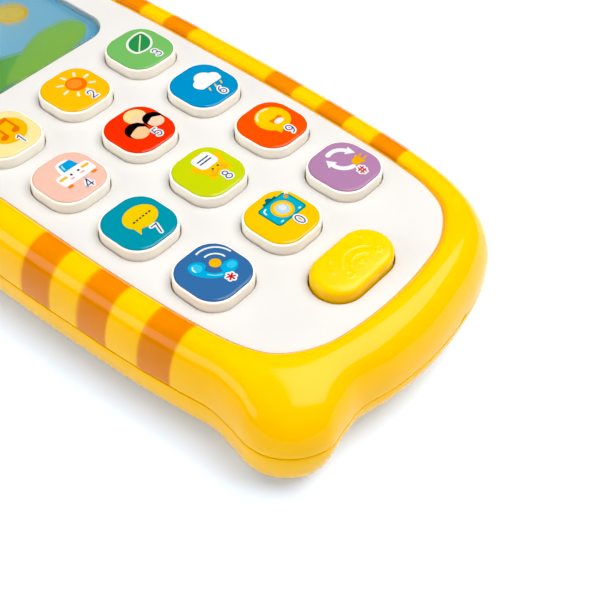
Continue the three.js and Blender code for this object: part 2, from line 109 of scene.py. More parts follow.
OUTER = spline([q[0] for q in PAIRS], True, 10)
INNER = spline([q[1] for q in PAIRS], True, 10)
DIST = np.hypot(*(OUTER - INNER).T)
UNIT = (INNER - OUTER) / DIST[:, None]


def smooth(v, a, b):
    t = np.clip((np.asarray(v, float) - a) / (b - a), 0, 1)
    return t * t * (3 - 2 * t)


ENDNESS = smooth(abs(OUTER[:, 1]), 64, 80) * np.where(
    (OUTER[:, 1] < 0) & (OUTER[:, 0] < 0), smooth(OUTER[:, 0], -34, -25), 1.0)
INSET = 9 + 5 * ENDNESS


def ring(f, z):
    xy = OUTER + UNIT * np.broadcast_to(f, DIST.shape)[:, None]
    return np.column_stack([xy, np.full(len(xy), float(z))])


def se(deg, n):
    a = math.radians(deg)
    return max(0.0, math.cos(a)) ** (2 / n), max(0.0, math.sin(a)) ** (2 / n)


# ------------------------------------------------------------------ mesh helpers
def make(name, verts, faces, mats, index=None, angle=40):
    me = bpy.data.meshes.new(name)
    me.from_pydata([tuple(map(float, np.asarray(v) * MM)) for v in verts], [], [tuple(map(int, f)) for f in faces])
    for m in mats if isinstance(mats, (list, tuple)) else [mats]:
        me.materials.append(m)
    if index is not None:
        me.polygons.foreach_set("material_index", np.array(index, np.int32))
    finish_shading(me, angle)
    o = bpy.data.objects.new(name, me)
    scene.collection.objects.link(o)
    return o


def finish_shading(me, angle=40):
    me.polygons.foreach_set("use_smooth", np.ones(len(me.polygons), bool))
    me.set_sharp_from_angle(angle=math.radians(angle))
    me.update()


def quads(n, m, closed=False, base=0):
    out = []
    for k in range(m if closed else m - 1):
        a, b = base + k * n, base + ((k + 1) % m) * n
        out += [(a + i, a + (i + 1) % n, b + (i + 1) % n, b + i) for i in range(n)]
    return out


def cap(poly, base, up):
    """Triangles over a closed planar polygon."""
    tri = tessellate_polygon([[Vector((p[0], p[1], 0)) for p in poly]])
    out = []
    for t in tri:
        a, b, c = (poly[i] for i in t)
        turn = (b[0] - a[0]) * (c[1] - a[1]) - (b[1] - a[1]) * (c[0] - a[0])
        t = tuple(t) if (turn > 0) == up else tuple(reversed(t))
        out.append(tuple(base + i for i in t))
    return out


def stack(rings, bottom=True, top=True, base=0):
    """Closed solid from rings listed from the underside up the outside to the top."""
    n = len(rings[0])
    verts = [v for r in rings for v in r]
    faces = quads(n, len(rings), base=base)
    if bottom:
        faces += cap(rings[0], base, False)
    if top:
        faces += cap(rings[-1], base + n * (len(rings) - 1), True)
    return verts, faces


def rrect(hx, hy, r, cx=0.0, cy=0.0, seg=10):
    out = []
    for sx, sy, a0 in ((1, 1, 0), (-1, 1, 90), (-1, -1, 180), (1, -1, 270)):
        for i in range(seg + 1):
            a = math.radians(a0 + 90 * i / seg)
            out.append((cx + sx * (hx - r) + r * math.cos(a), cy + sy * (hy - r) + r * math.sin(a)))
    return np.array(out)


def rrect_even(hx, hy, r, cx=0.0, cy=0.0, seg=10, side=8):
    """Rounded rectangle whose straight sides are divided too."""
    p = rrect(hx, hy, r, cx, cy, seg)
    out, n = [], len(p)
    for i in range(n):
        out.append(p[i])
        if (i + 1) % (seg + 1) == 0:
            q = p[(i + 1) % n]
            if np.hypot(*(q - p[i])) > 1e-3:
                out += [p[i] + (q - p[i]) * k / side for k in range(1, side)]
    return np.array(out)


def circle(r, cx=0.0, cy=0.0, n=48):
    a = np.arange(n) * 2 * math.pi / n
    return np.column_stack([cx + r * np.cos(a), cy + r * np.sin(a)])


def lift(xy, z):
    return np.column_stack([xy, np.broadcast_to(z, len(xy))])


def offset(p, d):
    t = np.roll(p, -1, 0) - np.roll(p, 1, 0)
    t /= np.hypot(*t.T)[:, None]
    return p + np.column_stack([t[:, 1], -t[:, 0]]) * d


def lathe(profile, cx, cy, n=48, closed_ends=True):
    """Profile (r, z) from the underside axis round the outside to the top axis."""
    rings = [lift(circle(max(r, 1e-3), cx, cy, n), z) for r, z in profile]
    return stack(rings, closed_ends, closed_ends)


def boolean(o, verts, faces, op):
    me = bpy.data.meshes.new("tool")
    me.from_pydata([tuple(map(float, np.asarray(v) * MM)) for v in verts], [], [tuple(map(int, f)) for f in faces])
    me.materials.append(o.data.materials[0])
    t = bpy.data.objects.new("tool", me)
    scene.collection.objects.link(t)
    m = o.modifiers.new("b", "BOOLEAN")
    m.object, m.operation = t, op
    m.solver = "MANIFOLD"
    deps = bpy.context.evaluated_depsgraph_get()
    new = bpy.data.meshes.new_from_object(o.evaluated_get(deps))
    if len(new.polygons) < 10:
        raise RuntimeError("boolean gave nothing on " + o.name)
    o.modifiers.clear()
    old = o.data
    o.data = new
    bpy.data.meshes.remove(old)
    bpy.data.objects.remove(t)
    bpy.data.meshes.remove(me)


def prism(contour, profile):
    """Solid whose outline is contour(outset) at each (outset, z) of the profile, from below upwards."""
    return stack([lift(contour(d), z) for d, z in profile])


def fill(contours, step):
    """Triangles over an even-odd region with an inner grid, for surfaces that follow a dome."""
    pts = [tuple(p) for c in contours for p in c]
    edges, base = [], 0
    for c in contours:
        edges += [(base + i, base + (i + 1) % len(c)) for i in range(len(c))]
        base += len(c)
    bound = np.array(pts)

    def inside(q):
        hit = np.zeros(len(q), bool)
        for c in contours:
            c = np.asarray(c)
            a, b = c, np.roll(c, -1, 0)
            for (x0, y0), (x1, y1) in zip(a, b):
                cross = (y0 > q[:, 1]) != (y1 > q[:, 1])
                with np.errstate(divide="ignore", invalid="ignore"):
                    xi = (x1 - x0) * (q[:, 1] - y0) / (y1 - y0) + x0
                hit ^= cross & (q[:, 0] < xi)
        return hit

    lo, hi = bound.min(0), bound.max(0)
    gx, gy = np.meshgrid(np.arange(lo[0] + step / 2, hi[0], step), np.arange(lo[1] + step / 2, hi[1], step))
    g = np.column_stack([gx.ravel(), gy.ravel()])
    if len(g):
        g = g[inside(g)]
    if len(g):
        d = np.sqrt(((g[:, None, :] - bound[None]) ** 2).sum(2)).min(1)
        g = g[d > 0.45 * step]
    co = [Vector(p) for p in pts] + [Vector(p) for p in g]
    v, _, f, *_ = delaunay_2d_cdt(co, edges, [], 0, 1e-5)
    v = np.array([tuple(p) for p in v])
    f = np.array(f)
    mid = v[f].mean(1)
    f = f[inside(mid)]
    a, b, c = v[f[:, 0]], v[f[:, 1]], v[f[:, 2]]
    turn = (b[:, 0] - a[:, 0]) * (c[:, 1] - a[:, 1]) - (b[:, 1] - a[:, 1]) * (c[:, 0] - a[:, 0])
    f[turn < 0] = f[turn < 0][:, ::-1]
    return v, [tuple(t) for t in f[abs(turn) > 1e-9]]


# ------------------------------------------------------------------ materials
def lin(c):
    return tuple(v / 255 / 12.92 if v <= 10 else ((v / 255 + 0.055) / 1.055) ** 2.4 for v in c)


TONE = 0.72  # albedo for a colour seen under this light


def nodes_of(name):
    m = bpy.data.materials.new(name)
    m.use_nodes = True
    return m, m.node_tree, m.node_tree.nodes["Principled BSDF"]


def add(nt, kind, **values):
    n = nt.nodes.new(kind)
    for k, v in values.items():
        if k in n.inputs:
            n.inputs[k].default_value = v
        else:
            setattr(n, k, v)
    return n


def noise(nt, coord, scale, detail=2.0, rough=0.5):
    n = add(nt, "ShaderNodeTexNoise")
    n.inputs["Scale"].default_value = scale
    n.inputs["Detail"].default_value = detail
    n.inputs["Roughness"].default_value = rough
    nt.links.new(coord, n.inputs["Vector"])
    return n.outputs["Fac"]


def remap(nt, value, lo, hi, a=0.3, b=0.7):
    n = add(nt, "ShaderNodeMapRange")
    n.inputs["From Min"].default_value, n.inputs["From Max"].default_value = a, b
    n.inputs["To Min"].default_value, n.inputs["To Max"].default_value = lo, hi
    nt.links.new(value, n.inputs["Value"])
    return n.outputs["Result"]


def mix(nt, fac, a, b):
    n = add(nt, "ShaderNodeMix", data_type="RGBA")
    for key, v in ((6, a), (7, b)):
        if isinstance(v, tuple):
            n.inputs[key].default_value = (*v, 1)
        else:
            nt.links.new(v, n.inputs[key])
    nt.links.new(fac, n.inputs[0])
    return n.outputs[2]


def bump(nt, bsdf, height, strength, distance):
    b = add(nt, "ShaderNodeBump")
    b.inputs["Strength"].default_value, b.inputs["Distance"].default_value = strength, distance
    nt.links.new(height, b.inputs["Height"])
    nt.links.new(b.outputs["Normal"], bsdf.inputs["Normal"])
    return b


def plastic(name, rgb, rough=0.2, vary=0.03, wave=0.0, grain=0.0, coat=0.0, specular=0.3, metallic=0.0, sss=0.0):
    """Moulded plastic: slight pigment drift, handling marks in the gloss, mould waviness and a fine grain."""
    m, nt, b = nodes_of(name)
    c = add(nt, "ShaderNodeTexCoord").outputs["Object"]
    base = np.array(lin(rgb)) * TONE
    nt.links.new(mix(nt, remap(nt, noise(nt, c, 90, 3), 0, 1), tuple(base * (1 - vary)), tuple(np.minimum(base * (1 + vary), 1))), b.inputs["Base Color"])
    nt.links.new(remap(nt, noise(nt, c, 230, 4, 0.6), rough * 0.8, min(1, rough * 1.25)), b.inputs["Roughness"])
    b.inputs["Specular IOR Level"].default_value = specular
    b.inputs["Metallic"].default_value = metallic
    if coat:
        b.inputs["Coat Weight"].default_value = coat
        b.inputs["Coat Roughness"].default_value = 0.06
    if sss:
        soft_inside(b)
    if grain:
        bump(nt, b, noise(nt, c, 5200, 2, 0.6), grain, 0.00004)
    elif wave:
        bump(nt, b, noise(nt, c, 420, 2, 0.45), wave, 0.00006)
    return m


def striped(name, rgb, stripe):
    """Glossy yellow shell with sprayed bands across it at fixed places along its length."""
    m, nt, b = nodes_of(name)
    c = add(nt, "ShaderNodeTexCoord").outputs["Object"]
    xyz = add(nt, "ShaderNodeSeparateXYZ")
    nt.links.new(c, xyz.inputs[0])
    wob = add(nt, "ShaderNodeMath", operation="MULTIPLY_ADD")
    nt.links.new(noise(nt, c, 700, 2), wob.inputs[0])
    wob.inputs[1].default_value = 0.00016
    nt.links.new(xyz.outputs["Y"], wob.inputs[2])
    t = remap(nt, wob.outputs[0], 0, 1, -0.084 + 0.00008, 0.084 + 0.00008)
    r = add(nt, "ShaderNodeValToRGB")
    nt.links.new(t, r.inputs[0])
    ramp = r.color_ramp
    ramp.interpolation = "LINEAR"
    soft = 0.0009
    stops = []
    for a, z in STRIPES:
        p, q = (a + 84) / 168, (z + 84) / 168
        stops += [(p - soft, 0), (p + soft, 1), (q - soft, 1), (q + soft, 0)]
    ramp.elements[0].position, ramp.elements[0].color = 0.0, (0, 0, 0, 1)
    ramp.elements[1].position, ramp.elements[1].color = 1.0, (0, 0, 0, 1)
    for p, v in stops:
        e = ramp.elements.new(p)
        e.color = (v, v, v, 1)
    base, band = np.array(lin(rgb)), np.array(lin(stripe))
    drift = remap(nt, noise(nt, c, 90, 3), 0, 1)
    yellow = mix(nt, drift, tuple(base * 0.975), tuple(np.minimum(base * 1.02, 1)))
    orange = mix(nt, drift, tuple(band * 0.96), tuple(np.minimum(band * 1.04, 1)))
    nt.links.new(mix(nt, r.outputs[0], yellow, orange), b.inputs["Base Color"])
    nt.links.new(remap(nt, noise(nt, c, 230, 4, 0.6), 0.12, 0.2), b.inputs["Roughness"])
    b.inputs["Specular IOR Level"].default_value = 0.2
    soft_inside(b)
    bump(nt, b, noise(nt, c, 110, 2, 0.4), 0.10, 0.0005)
    return m


def soft_inside(b):
    """A little light passes into the coloured plastic, which warms its edges and joints."""
    b.inputs["Subsurface Weight"].default_value = 0.12
    b.inputs["Subsurface Radius"].default_value = (1.0, 0.45, 0.08)
    b.inputs["Subsurface Scale"].default_value = 0.0025


def clear(name, tint):
    m, nt, b = nodes_of(name)
    c = add(nt, "ShaderNodeTexCoord").outputs["Object"]
    nt.links.new(mix(nt, remap(nt, noise(nt, c, 60, 2), 0, 1), tuple(lin(tint)), (0.96, 0.98, 1.0)), b.inputs["Base Color"])
    nt.links.new(remap(nt, noise(nt, c, 180, 4, 0.6), 0.02, 0.06), b.inputs["Roughness"])
    b.inputs["Transmission Weight"].default_value = 1.0
    b.inputs["Alpha"].default_value = 0.45
    b.inputs["IOR"].default_value = 1.49
    bump(nt, b, noise(nt, c, 300, 2, 0.4), 0.03, 0.0001)
    return m


def steel(name, rgb=(196, 198, 202), rough=0.28):
    m, nt, b = nodes_of(name)
    c = add(nt, "ShaderNodeTexCoord").outputs["Object"]
    s = add(nt, "ShaderNodeMapping")
    s.inputs["Scale"].default_value = (1.0, 9.0, 1.0)
    nt.links.new(c, s.inputs["Vector"])
    base = np.array(lin(rgb))
    nt.links.new(mix(nt, remap(nt, noise(nt, c, 500, 3), 0, 1), tuple(base * 0.9), tuple(base)), b.inputs["Base Color"])
    nt.links.new(remap(nt, noise(nt, s.outputs[0], 900, 3), rough * 0.8, rough * 1.3), b.inputs["Roughness"])
    b.inputs["Metallic"].default_value = 1.0
    bump(nt, b, noise(nt, s.outputs[0], 1500, 2), 0.15, 0.00002)
    return m


def board(name):
    m, nt, b = nodes_of(name)
    c = add(nt, "ShaderNodeTexCoord").outputs["Object"]
    w = add(nt, "ShaderNodeTexBrick")
    w.inputs["Scale"].default_value = 160
    w.inputs["Mortar Size"].default_value = 0.03
    nt.links.new(c, w.inputs["Vector"])
    base = mix(nt, remap(nt, noise(nt, c, 140, 3), 0, 1), lin((30, 104, 62)), lin((44, 128, 76)))
    nt.links.new(mix(nt, remap(nt, w.outputs["Fac"], 0, 0.55, 0, 1), base, lin((150, 170, 90))), b.inputs["Base Color"])
    nt.links.new(remap(nt, noise(nt, c, 300, 3), 0.35, 0.55), b.inputs["Roughness"])
    bump(nt, b, w.outputs["Fac"], 0.2, 0.00003)
    return m


YELLOW = (250, 186, 0)
M = {}
M["case"] = striped("shell_yellow_banded", YELLOW, (218, 125, 0))
M["base"] = plastic("shell_yellow", (292, 218, 0), 0.16, 0.02, wave=0.12, specular=0.15, sss=1)
# painted shade: a darker, duller copy of the shell yellow for the walls of the gap between the face plate and the rim
M["groove"] = plastic("shell_groove_painted_shade", (272, 200, 70), 0.3, 0.03, wave=0.05, sss=1)
M["call"] = plastic("call_yellow", (288, 228, 24), 0.3, 0.02, wave=0.08, specular=0.3, sss=1)
M["call"].node_tree.nodes["Principled BSDF"].inputs["Subsurface Weight"].default_value = 0.7
M["call"].node_tree.nodes["Principled BSDF"].inputs["Subsurface Radius"].default_value = (1.0, 0.65, 0.1)
M["call"].node_tree.nodes["Principled BSDF"].inputs["Subsurface Scale"].default_value = 0.004
M["face"] = plastic("face_white", (243, 240, 236), 0.42, 0.012, grain=0.12)
M["key"] = plastic("key_white", (290, 281, 266), 0.33, 0.012, grain=0.05)
M["key"].node_tree.nodes["Principled BSDF"].inputs["Subsurface Weight"].default_value = 0.2
M["key"].node_tree.nodes["Principled BSDF"].inputs["Subsurface Radius"].default_value = (1.0, 0.85, 0.65)
M["key"].node_tree.nodes["Principled BSDF"].inputs["Subsurface Scale"].default_value = 0.0015
M["lens"] = clear("lens_clear", (236, 246, 252))
M["card"] = plastic("screen_card", (150, 210, 236), 0.6, 0.03, grain=0.1)
M["silicone"] = plastic("silicone_grey", (205, 208, 210), 0.6, 0.03, grain=0.1)
M["board"] = board("circuit_board")
M["black"] = plastic("black_plastic", (24, 24, 26), 0.4, 0.1, grain=0.2)
M["cone"] = plastic("cone_paper", (36, 35, 38), 0.75, 0.15, grain=0.5)
M["led"] = plastic("led_clear", (250, 240, 215), 0.12, 0.02, wave=0.1)
M["red"] = plastic("wire_red", (190, 28, 24), 0.4, 0.05, grain=0.1)
M["wblack"] = plastic("wire_black", (22, 22, 24), 0.4, 0.05, grain=0.1)
M["steel"] = steel("steel_plated")
M["cell"] = plastic("cell_wrap_blue", (38, 96, 158), 0.25, 0.05, wave=0.1)

INLAY = {
    "1": (255, 236, 165), "2": (255, 195, 35), "3": (124, 196, 106), "4": (250, 200, 180), "5": (250, 58, 8), "6": (8, 150, 206),
    "7": (18, 154, 175), "8": (210, 222, 36), "9": (255, 88, 4), "0": (255, 203, 0), "star": (62, 114, 170), "hash": (186, 136, 178),
}
_ink = {}


def ink(rgb):
    """Printed colour under the same gloss as the inlay."""
    if rgb not in _ink:
        _ink[rgb] = plastic("ink_%02x%02x%02x" % rgb, rgb, 0.16, 0.02, wave=0.05)
    return _ink[rgb]


# ------------------------------------------------------------------ shells
rings = [ring(0.5, 12.03), ring(0.22, 12.1), ring(0.06, 12.24), ring(0.0, 12.42)]
for d in [1.8, 3, 4.8, 7, 10, 14, 18, 22, 26, 30, 34, 38, 42, 46, 50, 54, 58, 62, 66, 70, 74, 78, 82, 86, 90]:
    c, s = se(d, 2.2)
    rings.append(ring((DIST - CREST_IN) * (1 - c), 12.15 + 11.05 * s))
for u in [12, 26, 40, 54, 68, 80, 90]:
    rings.append(ring(DIST - CREST_IN + 1.75 * math.sin(math.radians(u)), 22.2 + 1.0 * math.cos(math.radians(u))))
rings += [ring(DIST - 0.06, 22.05), ring(DIST - 0.02, 21.92), ring(DIST + 0.08, 21.84), ring(DIST + 0.5, 21.8), ring(DIST + 0.5, 20.9)]
LEDGE = len(rings) - 1
for d in [90, 75, 60, 45, 30, 15]:
    c, s = se(d, 3)
    rings.append(ring(WALL + (DIST - WALL) * (1 - c), 12 + 8.6 * s))
rings.append(ring(WALL, 12.03))
# the lip and ledge rings that run down into the gap take the painted-shade material
upper = make("upper_case", [v for r in rings for v in r], quads(len(OUTER), len(rings), closed=True), [M["case"], M["groove"]],
             [1 if LEDGE - 4 <= k <= LEDGE else 0 for k in range(len(rings)) for _ in range(len(OUTER))])

rings = []
for d in [90, 84, 78, 72, 66, 60, 54, 48, 42, 36, 30, 25, 20, 15, 11, 8, 6]:
    c, s = se(d, 2.5)
    c_end = 0.0 if s >= 1 else math.sqrt(max(0.0, 1 - s * s))
    rings.append(ring(INSET * (1 - (c + (c_end - c) * ENDNESS)), 11.85 * (1 - s)))
rings += [ring(0.0, 11.55), ring(0.06, 11.76), ring(0.22, 11.9), ring(0.5, 11.97), ring(WALL, 11.97)]
for d in [15, 30, 45, 60, 75, 90]:
    c, s = se(d, 3)
    rings.append(ring(WALL + (INSET - 1.2) * (1 - c) + 1.6 * ENDNESS * (1 - c), WALL + (SEAM_Z - WALL) * (1 - s)))
n = len(OUTER)
verts = [v for r in rings for v in r]
faces = quads(n, len(rings)) + cap(rings[0], 0, False) + cap(rings[-1], n * (len(rings) - 1), True)
lower = make("lower_case", verts, faces, M["base"])


def cyl(r, z0, z1, x, y, n=32, flare=0.0):
    prof = [(flare, z0), (0, z0 + flare), (0, z1)] if flare else [(0, z0), (0, z1)]
    return prism(lambda d: circle(r + d, x, y, n), prof)


def block(x0, x1, y0, y1, z0, z1, r=0.4):
    return prism(lambda d: rrect((x1 - x0) / 2, (y1 - y0) / 2, r, (x0 + x1) / 2, (y0 + y1) / 2, 4), [(0, z0), (0, z1)])


for x, y in BOSS_XY:
    boolean(lower, *cyl(4.1, 1.2, 11.8, x, y), "UNION")
for x, y in [(24.5, -51.5), (-24.5, -51.5), (24.5, 6), (-24.5, 6)]:
    boolean(lower, *cyl(2, 1.2, 13.2, x, y, 24), "UNION")
boolean(lower, *block(-12.8, 12.8, 2.6, 66.4, 1.0, 13.3), "UNION")
boolean(lower, *block(-14.8, 14.8, 2.6, 68, 0.7, 3.0), "UNION")
boolean(lower, *block(-9.5, 9.5, SWITCH_Y - 5.5, SWITCH_Y + 5.5, 1.0, 4.2), "UNION")


def below(contour, deep, chamfer=0.25):
    """Cutter from under the base whose edge at z 0 is chamfered."""
    return prism(contour, [(chamfer + 0.5, -0.5), (0, chamfer), (0, deep)])


for x, y in BOSS_XY:
    boolean(lower, *below(lambda d: circle(3.2 + d, x, y), 5.0), "DIFFERENCE")
    boolean(lower, *cyl(1.6, 4, 13, x, y, 24), "DIFFERENCE")
for count, r in [(1, 0), (6, 5), (12, 10)]:
    for i in range(count):
        a = 2 * math.pi * i / count
        boolean(lower, *below(lambda d: circle(1.1 + d, r * math.cos(a), SPK_Y + r * math.sin(a), 24), 3.2), "DIFFERENCE")
boolean(lower, *block(-11.6, 11.6, 15, 65, -1, 12.6, 0.8), "DIFFERENCE")
boolean(lower, *below(lambda d: rrect(13.6 + d, 30.6 + d, 1.6 + d, 0, 36, 8), 1.9), "DIFFERENCE")
boolean(lower, *cyl(5.1, -1, 4.9, 0, DOOR_SCREW_Y), "DIFFERENCE")
boolean(lower, *cyl(1.6, 4, 11.5, 0, DOOR_SCREW_Y, 24), "DIFFERENCE")
for x in (-5.6, 5.6):
    boolean(lower, *block(x - 1.8, x + 1.8, 15, 16.1, 12, 14, 0.2), "DIFFERENCE")
boolean(lower, *below(lambda d: rrect(6.3 + d, 3.1 + d, 1.0 + d, 0, SWITCH_Y, 6), 2.4), "DIFFERENCE")
boolean(lower, *block(-4.3, 4.3, SWITCH_Y - 1.6, SWITCH_Y + 1.6, 2, 5), "DIFFERENCE")

# pry notch across the parting line, in the end wall
prof = []
for k in range(9):
    t = -90 + 180 * k / 8
    prof.append((max(1e-3, math.cos(math.radians(t))), math.sin(math.radians(t))))
rings = []
for rr, zz in prof:
    u = np.linspace(0, 2 * math.pi, 24, endpoint=False)
    rings.append(np.column_stack([rr * np.cos(u) * 1.35, rr * np.sin(u) * 1.3, np.full(24, zz * 0.75)]))
v, f = stack(rings)
rot = math.radians(9)
v = [(11.6 + p[0] * math.cos(rot) - p[1] * math.sin(rot), -82.95 + p[0] * math.sin(rot) + p[1] * math.cos(rot), SEAM_Z + 0.4 + p[2]) for p in v]
boolean(upper, v, f, "DIFFERENCE")
boolean(lower, v, f, "DIFFERENCE")
for o, node in ((upper, "upper_shell"), (lower, "lower_shell")):
    finish_shading(o.data, 32)
    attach(o, "case"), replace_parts(o, node), o


# ------------------------------------------------------------------ face plate
BUTTONS = [(i, (c - 1) * PITCH, ROW0_Y + (2 - r) * PITCH) for r, row in enumerate(
    [("1", "2", "3"), ("4", "5", "6"), ("7", "8", "9"), ("star", "0", "hash")]) for c, i in enumerate(row)]


def plate(name, outer, holes, z0, z1, edge, mat, seg=5, extra=()):
    """Flat plate with openings, all its top edges rounded with radius r; contour(d) gives the outline inset by d."""
    verts, faces, tops, bots = [], [], [], []
    for contour, sign in [(outer, 1)] + [(h, -1) for h in holes]:
        r = 0.12 if sign > 0 else edge
        prof = [(0.0, z0), (0.0, z1 - r)]
        prof += [(r * (1 - math.cos(math.radians(90 * k / seg))), z1 - r + r * math.sin(math.radians(90 * k / seg))) for k in range(1, seg + 1)]
        prof.append((r + 0.12, z1))
        rs = []
        for d, z in prof:
            c = contour(-d if sign > 0 else d)
            rs.append(lift(c if sign > 0 else c[::-1], z))
        base = len(verts)
        verts += [p for q in rs for p in q]
        m = len(rs[0])
        faces += quads(m, len(rs), base=base)
        bots.append((base, rs[0]))
        tops.append((base + m * (len(rs) - 1), rs[-1]))
    for loops, up in ((tops, True), (bots, False)):
        ids = [b + i for b, q in loops for i in range(len(q))]
        flat = [p for _, q in loops for p in q]
        for t in tessellate_polygon([[Vector((p[0], p[1], 0)) for p in q] for _, q in loops]):
            A, B, C = (flat[i] for i in t)
            turn = (B[0] - A[0]) * (C[1] - A[1]) - (B[1] - A[1]) * (C[0] - A[0])
            t = tuple(t) if (turn > 0) == up else tuple(reversed(t))
            faces.append(tuple(ids[i] for i in t))
    for ev, ef in extra:
        base = len(verts)
        verts += list(ev)
        faces += [tuple(base + i for i in q) for q in ef]
    return make(name, verts, faces, mat)


def stadium(hx, hy, cx, cy, seg=14):
    return rrect(hx, hy, hy - 1e-3, cx, cy, seg)


def tube(r1, r0, z0, z1, x, y, n=28):
    rs = [lift(circle(r, x, y, n), z) for r, z in ((r0, z0), (r1, z0), (r1, z1), (r0, z1))]
    return [p for q in rs for p in q], quads(n, 4, closed=True)


holes = [lambda d, x=x, y=y: rrect(CAP_HALF + 0.2 + d, CAP_HALF + 0.2 + d, CAP_R + 0.2 + d, x, y) for _, x, y in BUTTONS]
holes.append(lambda d: stadium(CALL_HX + 0.24 + d, CALL_HY + 0.24 + d, 0, CALL_Y))
holes.append(lambda d: rrect(LENS_HX + 0.3 + d, LENS_HY + 0.3 + d, LENS_R + 0.3 + d, 0, LENS_Y))
holes.append(lambda d: stadium(7 + d, 0.9 + d, 0, 68.4))
FACE_OUT = offset(INNER, -0.34)
face = plate("face_plate", lambda d: offset(FACE_OUT, d), holes, 20.2, FACE_Z, 0.3, M["face"],
             extra=[tube(2.6, 1.6, 12.4, 20.2, x, y) for x, y in BOSS_XY])
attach(face, "case"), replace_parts(face, "face_panel"), face


# ------------------------------------------------------------------ keys
def dome(x, y):
    """Height of an inlay's top at a point measured from the key's centre."""
    return 24.6 + 0.22 * (1 - (x / 7.2) ** 2) * (1 - (y / 7.2) ** 2)


def key_cap(name, x, y):
    c = lambda d: rrect(CAP_HALF + d, CAP_HALF + d, CAP_R + d, x, y, 12)
    prof = [(0, 18.4), (0, 18.7), (1.3, 18.7), (1.3, 19.9), (0, 19.9), (0, 20.4), (0, 22.5), (0, 23.75)]
    prof += [(-0.36 * (1 - math.cos(math.radians(u))), 23.94 + 0.36 * math.sin(math.radians(u))) for u in (0, 22, 45, 67, 90)]
    prof += [(-0.45, 24.3)]
    v, f = stack([lift(c(d), z) for d, z in prof])
    return make(name, v, f, M["key"])


def inlay(name, x, y, mat):
    R = 0.6
    verts, faces = [], []
    rs = []
    o = lambda d: rrect_even(INLAY_HALF - d, INLAY_HALF - d, INLAY_R - d * 0.6, 0, 0, 12, 6)
    rs.append(lift(o(0.05), 24.1))
    for u in (90, 78, 66, 54, 42, 30, 20, 10, 0):
        a = math.radians(u)
        d = R * (1 - math.sin(a))
        p = o(d)
        rs.append(lift(p, dome(p[:, 0], p[:, 1]) - R * 0.55 * (1 - math.cos(a))))
    rs = [r + np.array([0, 0, 0.0]) for r in rs]
    for r in rs:
        verts += list(r)
    m = len(rs[0])
    faces = quads(m, len(rs)) + cap(rs[0], 0, False)
    fv, ff = fill([rs[-1][:, :2]], 0.9)
    # the grid's first points are the last ring's
    base = m * (len(rs) - 1)
    remap_id = {}
    for i, p in enumerate(fv):
        j = int(np.argmin(((rs[-1][:, :2] - p) ** 2).sum(1)))
        if ((rs[-1][j, :2] - p) ** 2).sum() < 1e-8:
            remap_id[i] = base + j
        else:
            remap_id[i] = len(verts)
            verts.append((p[0], p[1], dome(p[0], p[1])))
    faces += [tuple(remap_id[i] for i in t) for t in ff]
    verts = [(p[0] + x, p[1] + y, p[2]) for p in verts]
    return make(name, verts, faces, mat)


NAVY, WHITE_INK = (58, 74, 122), (248, 247, 250)


class Art:
    """Printed shapes on one inlay, one thin layer over another."""

    def __init__(self):
        self.v, self.f, self.m, self.mats, self.level = [], [], [], [], 1

    def slot(self, rgb):
        mat = ink(rgb)
        if mat not in self.mats:
            self.mats.append(mat)
        return self.mats.index(mat)

    def put(self, v2, faces, rgb):
        base, s = len(self.v), self.slot(rgb)
        for p in v2:
            self.v.append((p[0], p[1], dome(p[0], p[1]) + 0.007 * self.level))
        for t in faces:
            self.f.append(tuple(base + i for i in t))
            self.m.append(s)
        self.level += 1

    def area(self, rgb, *contours):
        v, f = fill([dense(np.vstack([np.asarray(c, float), np.asarray(c, float)[:1]]), 0.35)[:-1] for c in contours], 0.8)
        self.put(v, f, rgb)

    def line(self, rgb, pts, width, closed=False):
        p = np.asarray(pts, float)
        n = len(p)
        if closed:
            t = np.roll(p, -1, 0) - np.roll(p, 1, 0)
        else:
            t = np.vstack([p[1] - p[0], p[2:] - p[:-2], p[-1] - p[-2]]) if n > 2 else np.array([p[1] - p[0]] * 2)
        t /= np.maximum(np.hypot(*t.T), 1e-9)[:, None]
        nrm = np.column_stack([-t[:, 1], t[:, 0]])
        h = width / 2
        if not closed:
            # keep the width of each straight piece at a corner
            seg = p[1:] - p[:-1]
            seg /= np.maximum(np.hypot(*seg.T), 1e-9)[:, None]
            k = np.ones(n)
            for i in range(1, n - 1):
                k[i] = min(2.2, 1 / max(0.3, abs(float(np.dot(t[i], seg[i])))))
            nrm = nrm * k[:, None]
        v = list(p + nrm * h) + list(p - nrm * h)
        f = [(i, n + i, n + (i + 1) % n, (i + 1) % n) for i in range(n if closed else n - 1)]
        if not closed:
            for e, sgn in ((0, -1), (n - 1, 1)):
                a0 = math.atan2(t[e][1], t[e][0]) + (0 if sgn > 0 else math.pi)
                arc = [p[e] + h * np.array([math.cos(a0 + q), math.sin(a0 + q)]) for q in np.linspace(-math.pi / 2, math.pi / 2, 7)]
                b = len(v)
                v += [p[e]] + arc
                f += [(b, b + 1 + i, b + 2 + i) for i in range(6)]
        self.put(v, f, rgb)

    def oval(self, rgb, cx, cy, rx, ry, rot=0.0, n=40):
        self.area(rgb, oval(cx, cy, rx, ry, rot, n))

    def text(self, strokes, cx, cy, rgb=NAVY, w=0.27, halo=0.36, scale=0.9):
        s = []
        for q, c in strokes:
            q = np.asarray(q, float) * scale + (cx, cy)
            # straight strokes are laid one by one, with round ends at the corners
            s += [(q, c)] if c or len(q) > 6 else [(dense([u, v], 0.4), False) for u, v in zip(q[:-1], q[1:])]
        for q, c in s:
            self.line(WHITE_INK, q, w + 2 * halo, c)
            self.level -= 1
        self.level += 1
        for q, c in s:
            self.line(rgb, q, w, c)
            self.level -= 1
        self.level += 1


def oval(cx, cy, rx, ry, rot=0.0, n=40):
    a = np.linspace(0, 2 * math.pi, n, endpoint=False)
    x, y, r = rx * np.cos(a), ry * np.sin(a), math.radians(rot)
    return np.column_stack([cx + x * math.cos(r) - y * math.sin(r), cy + x * math.sin(r) + y * math.cos(r)])


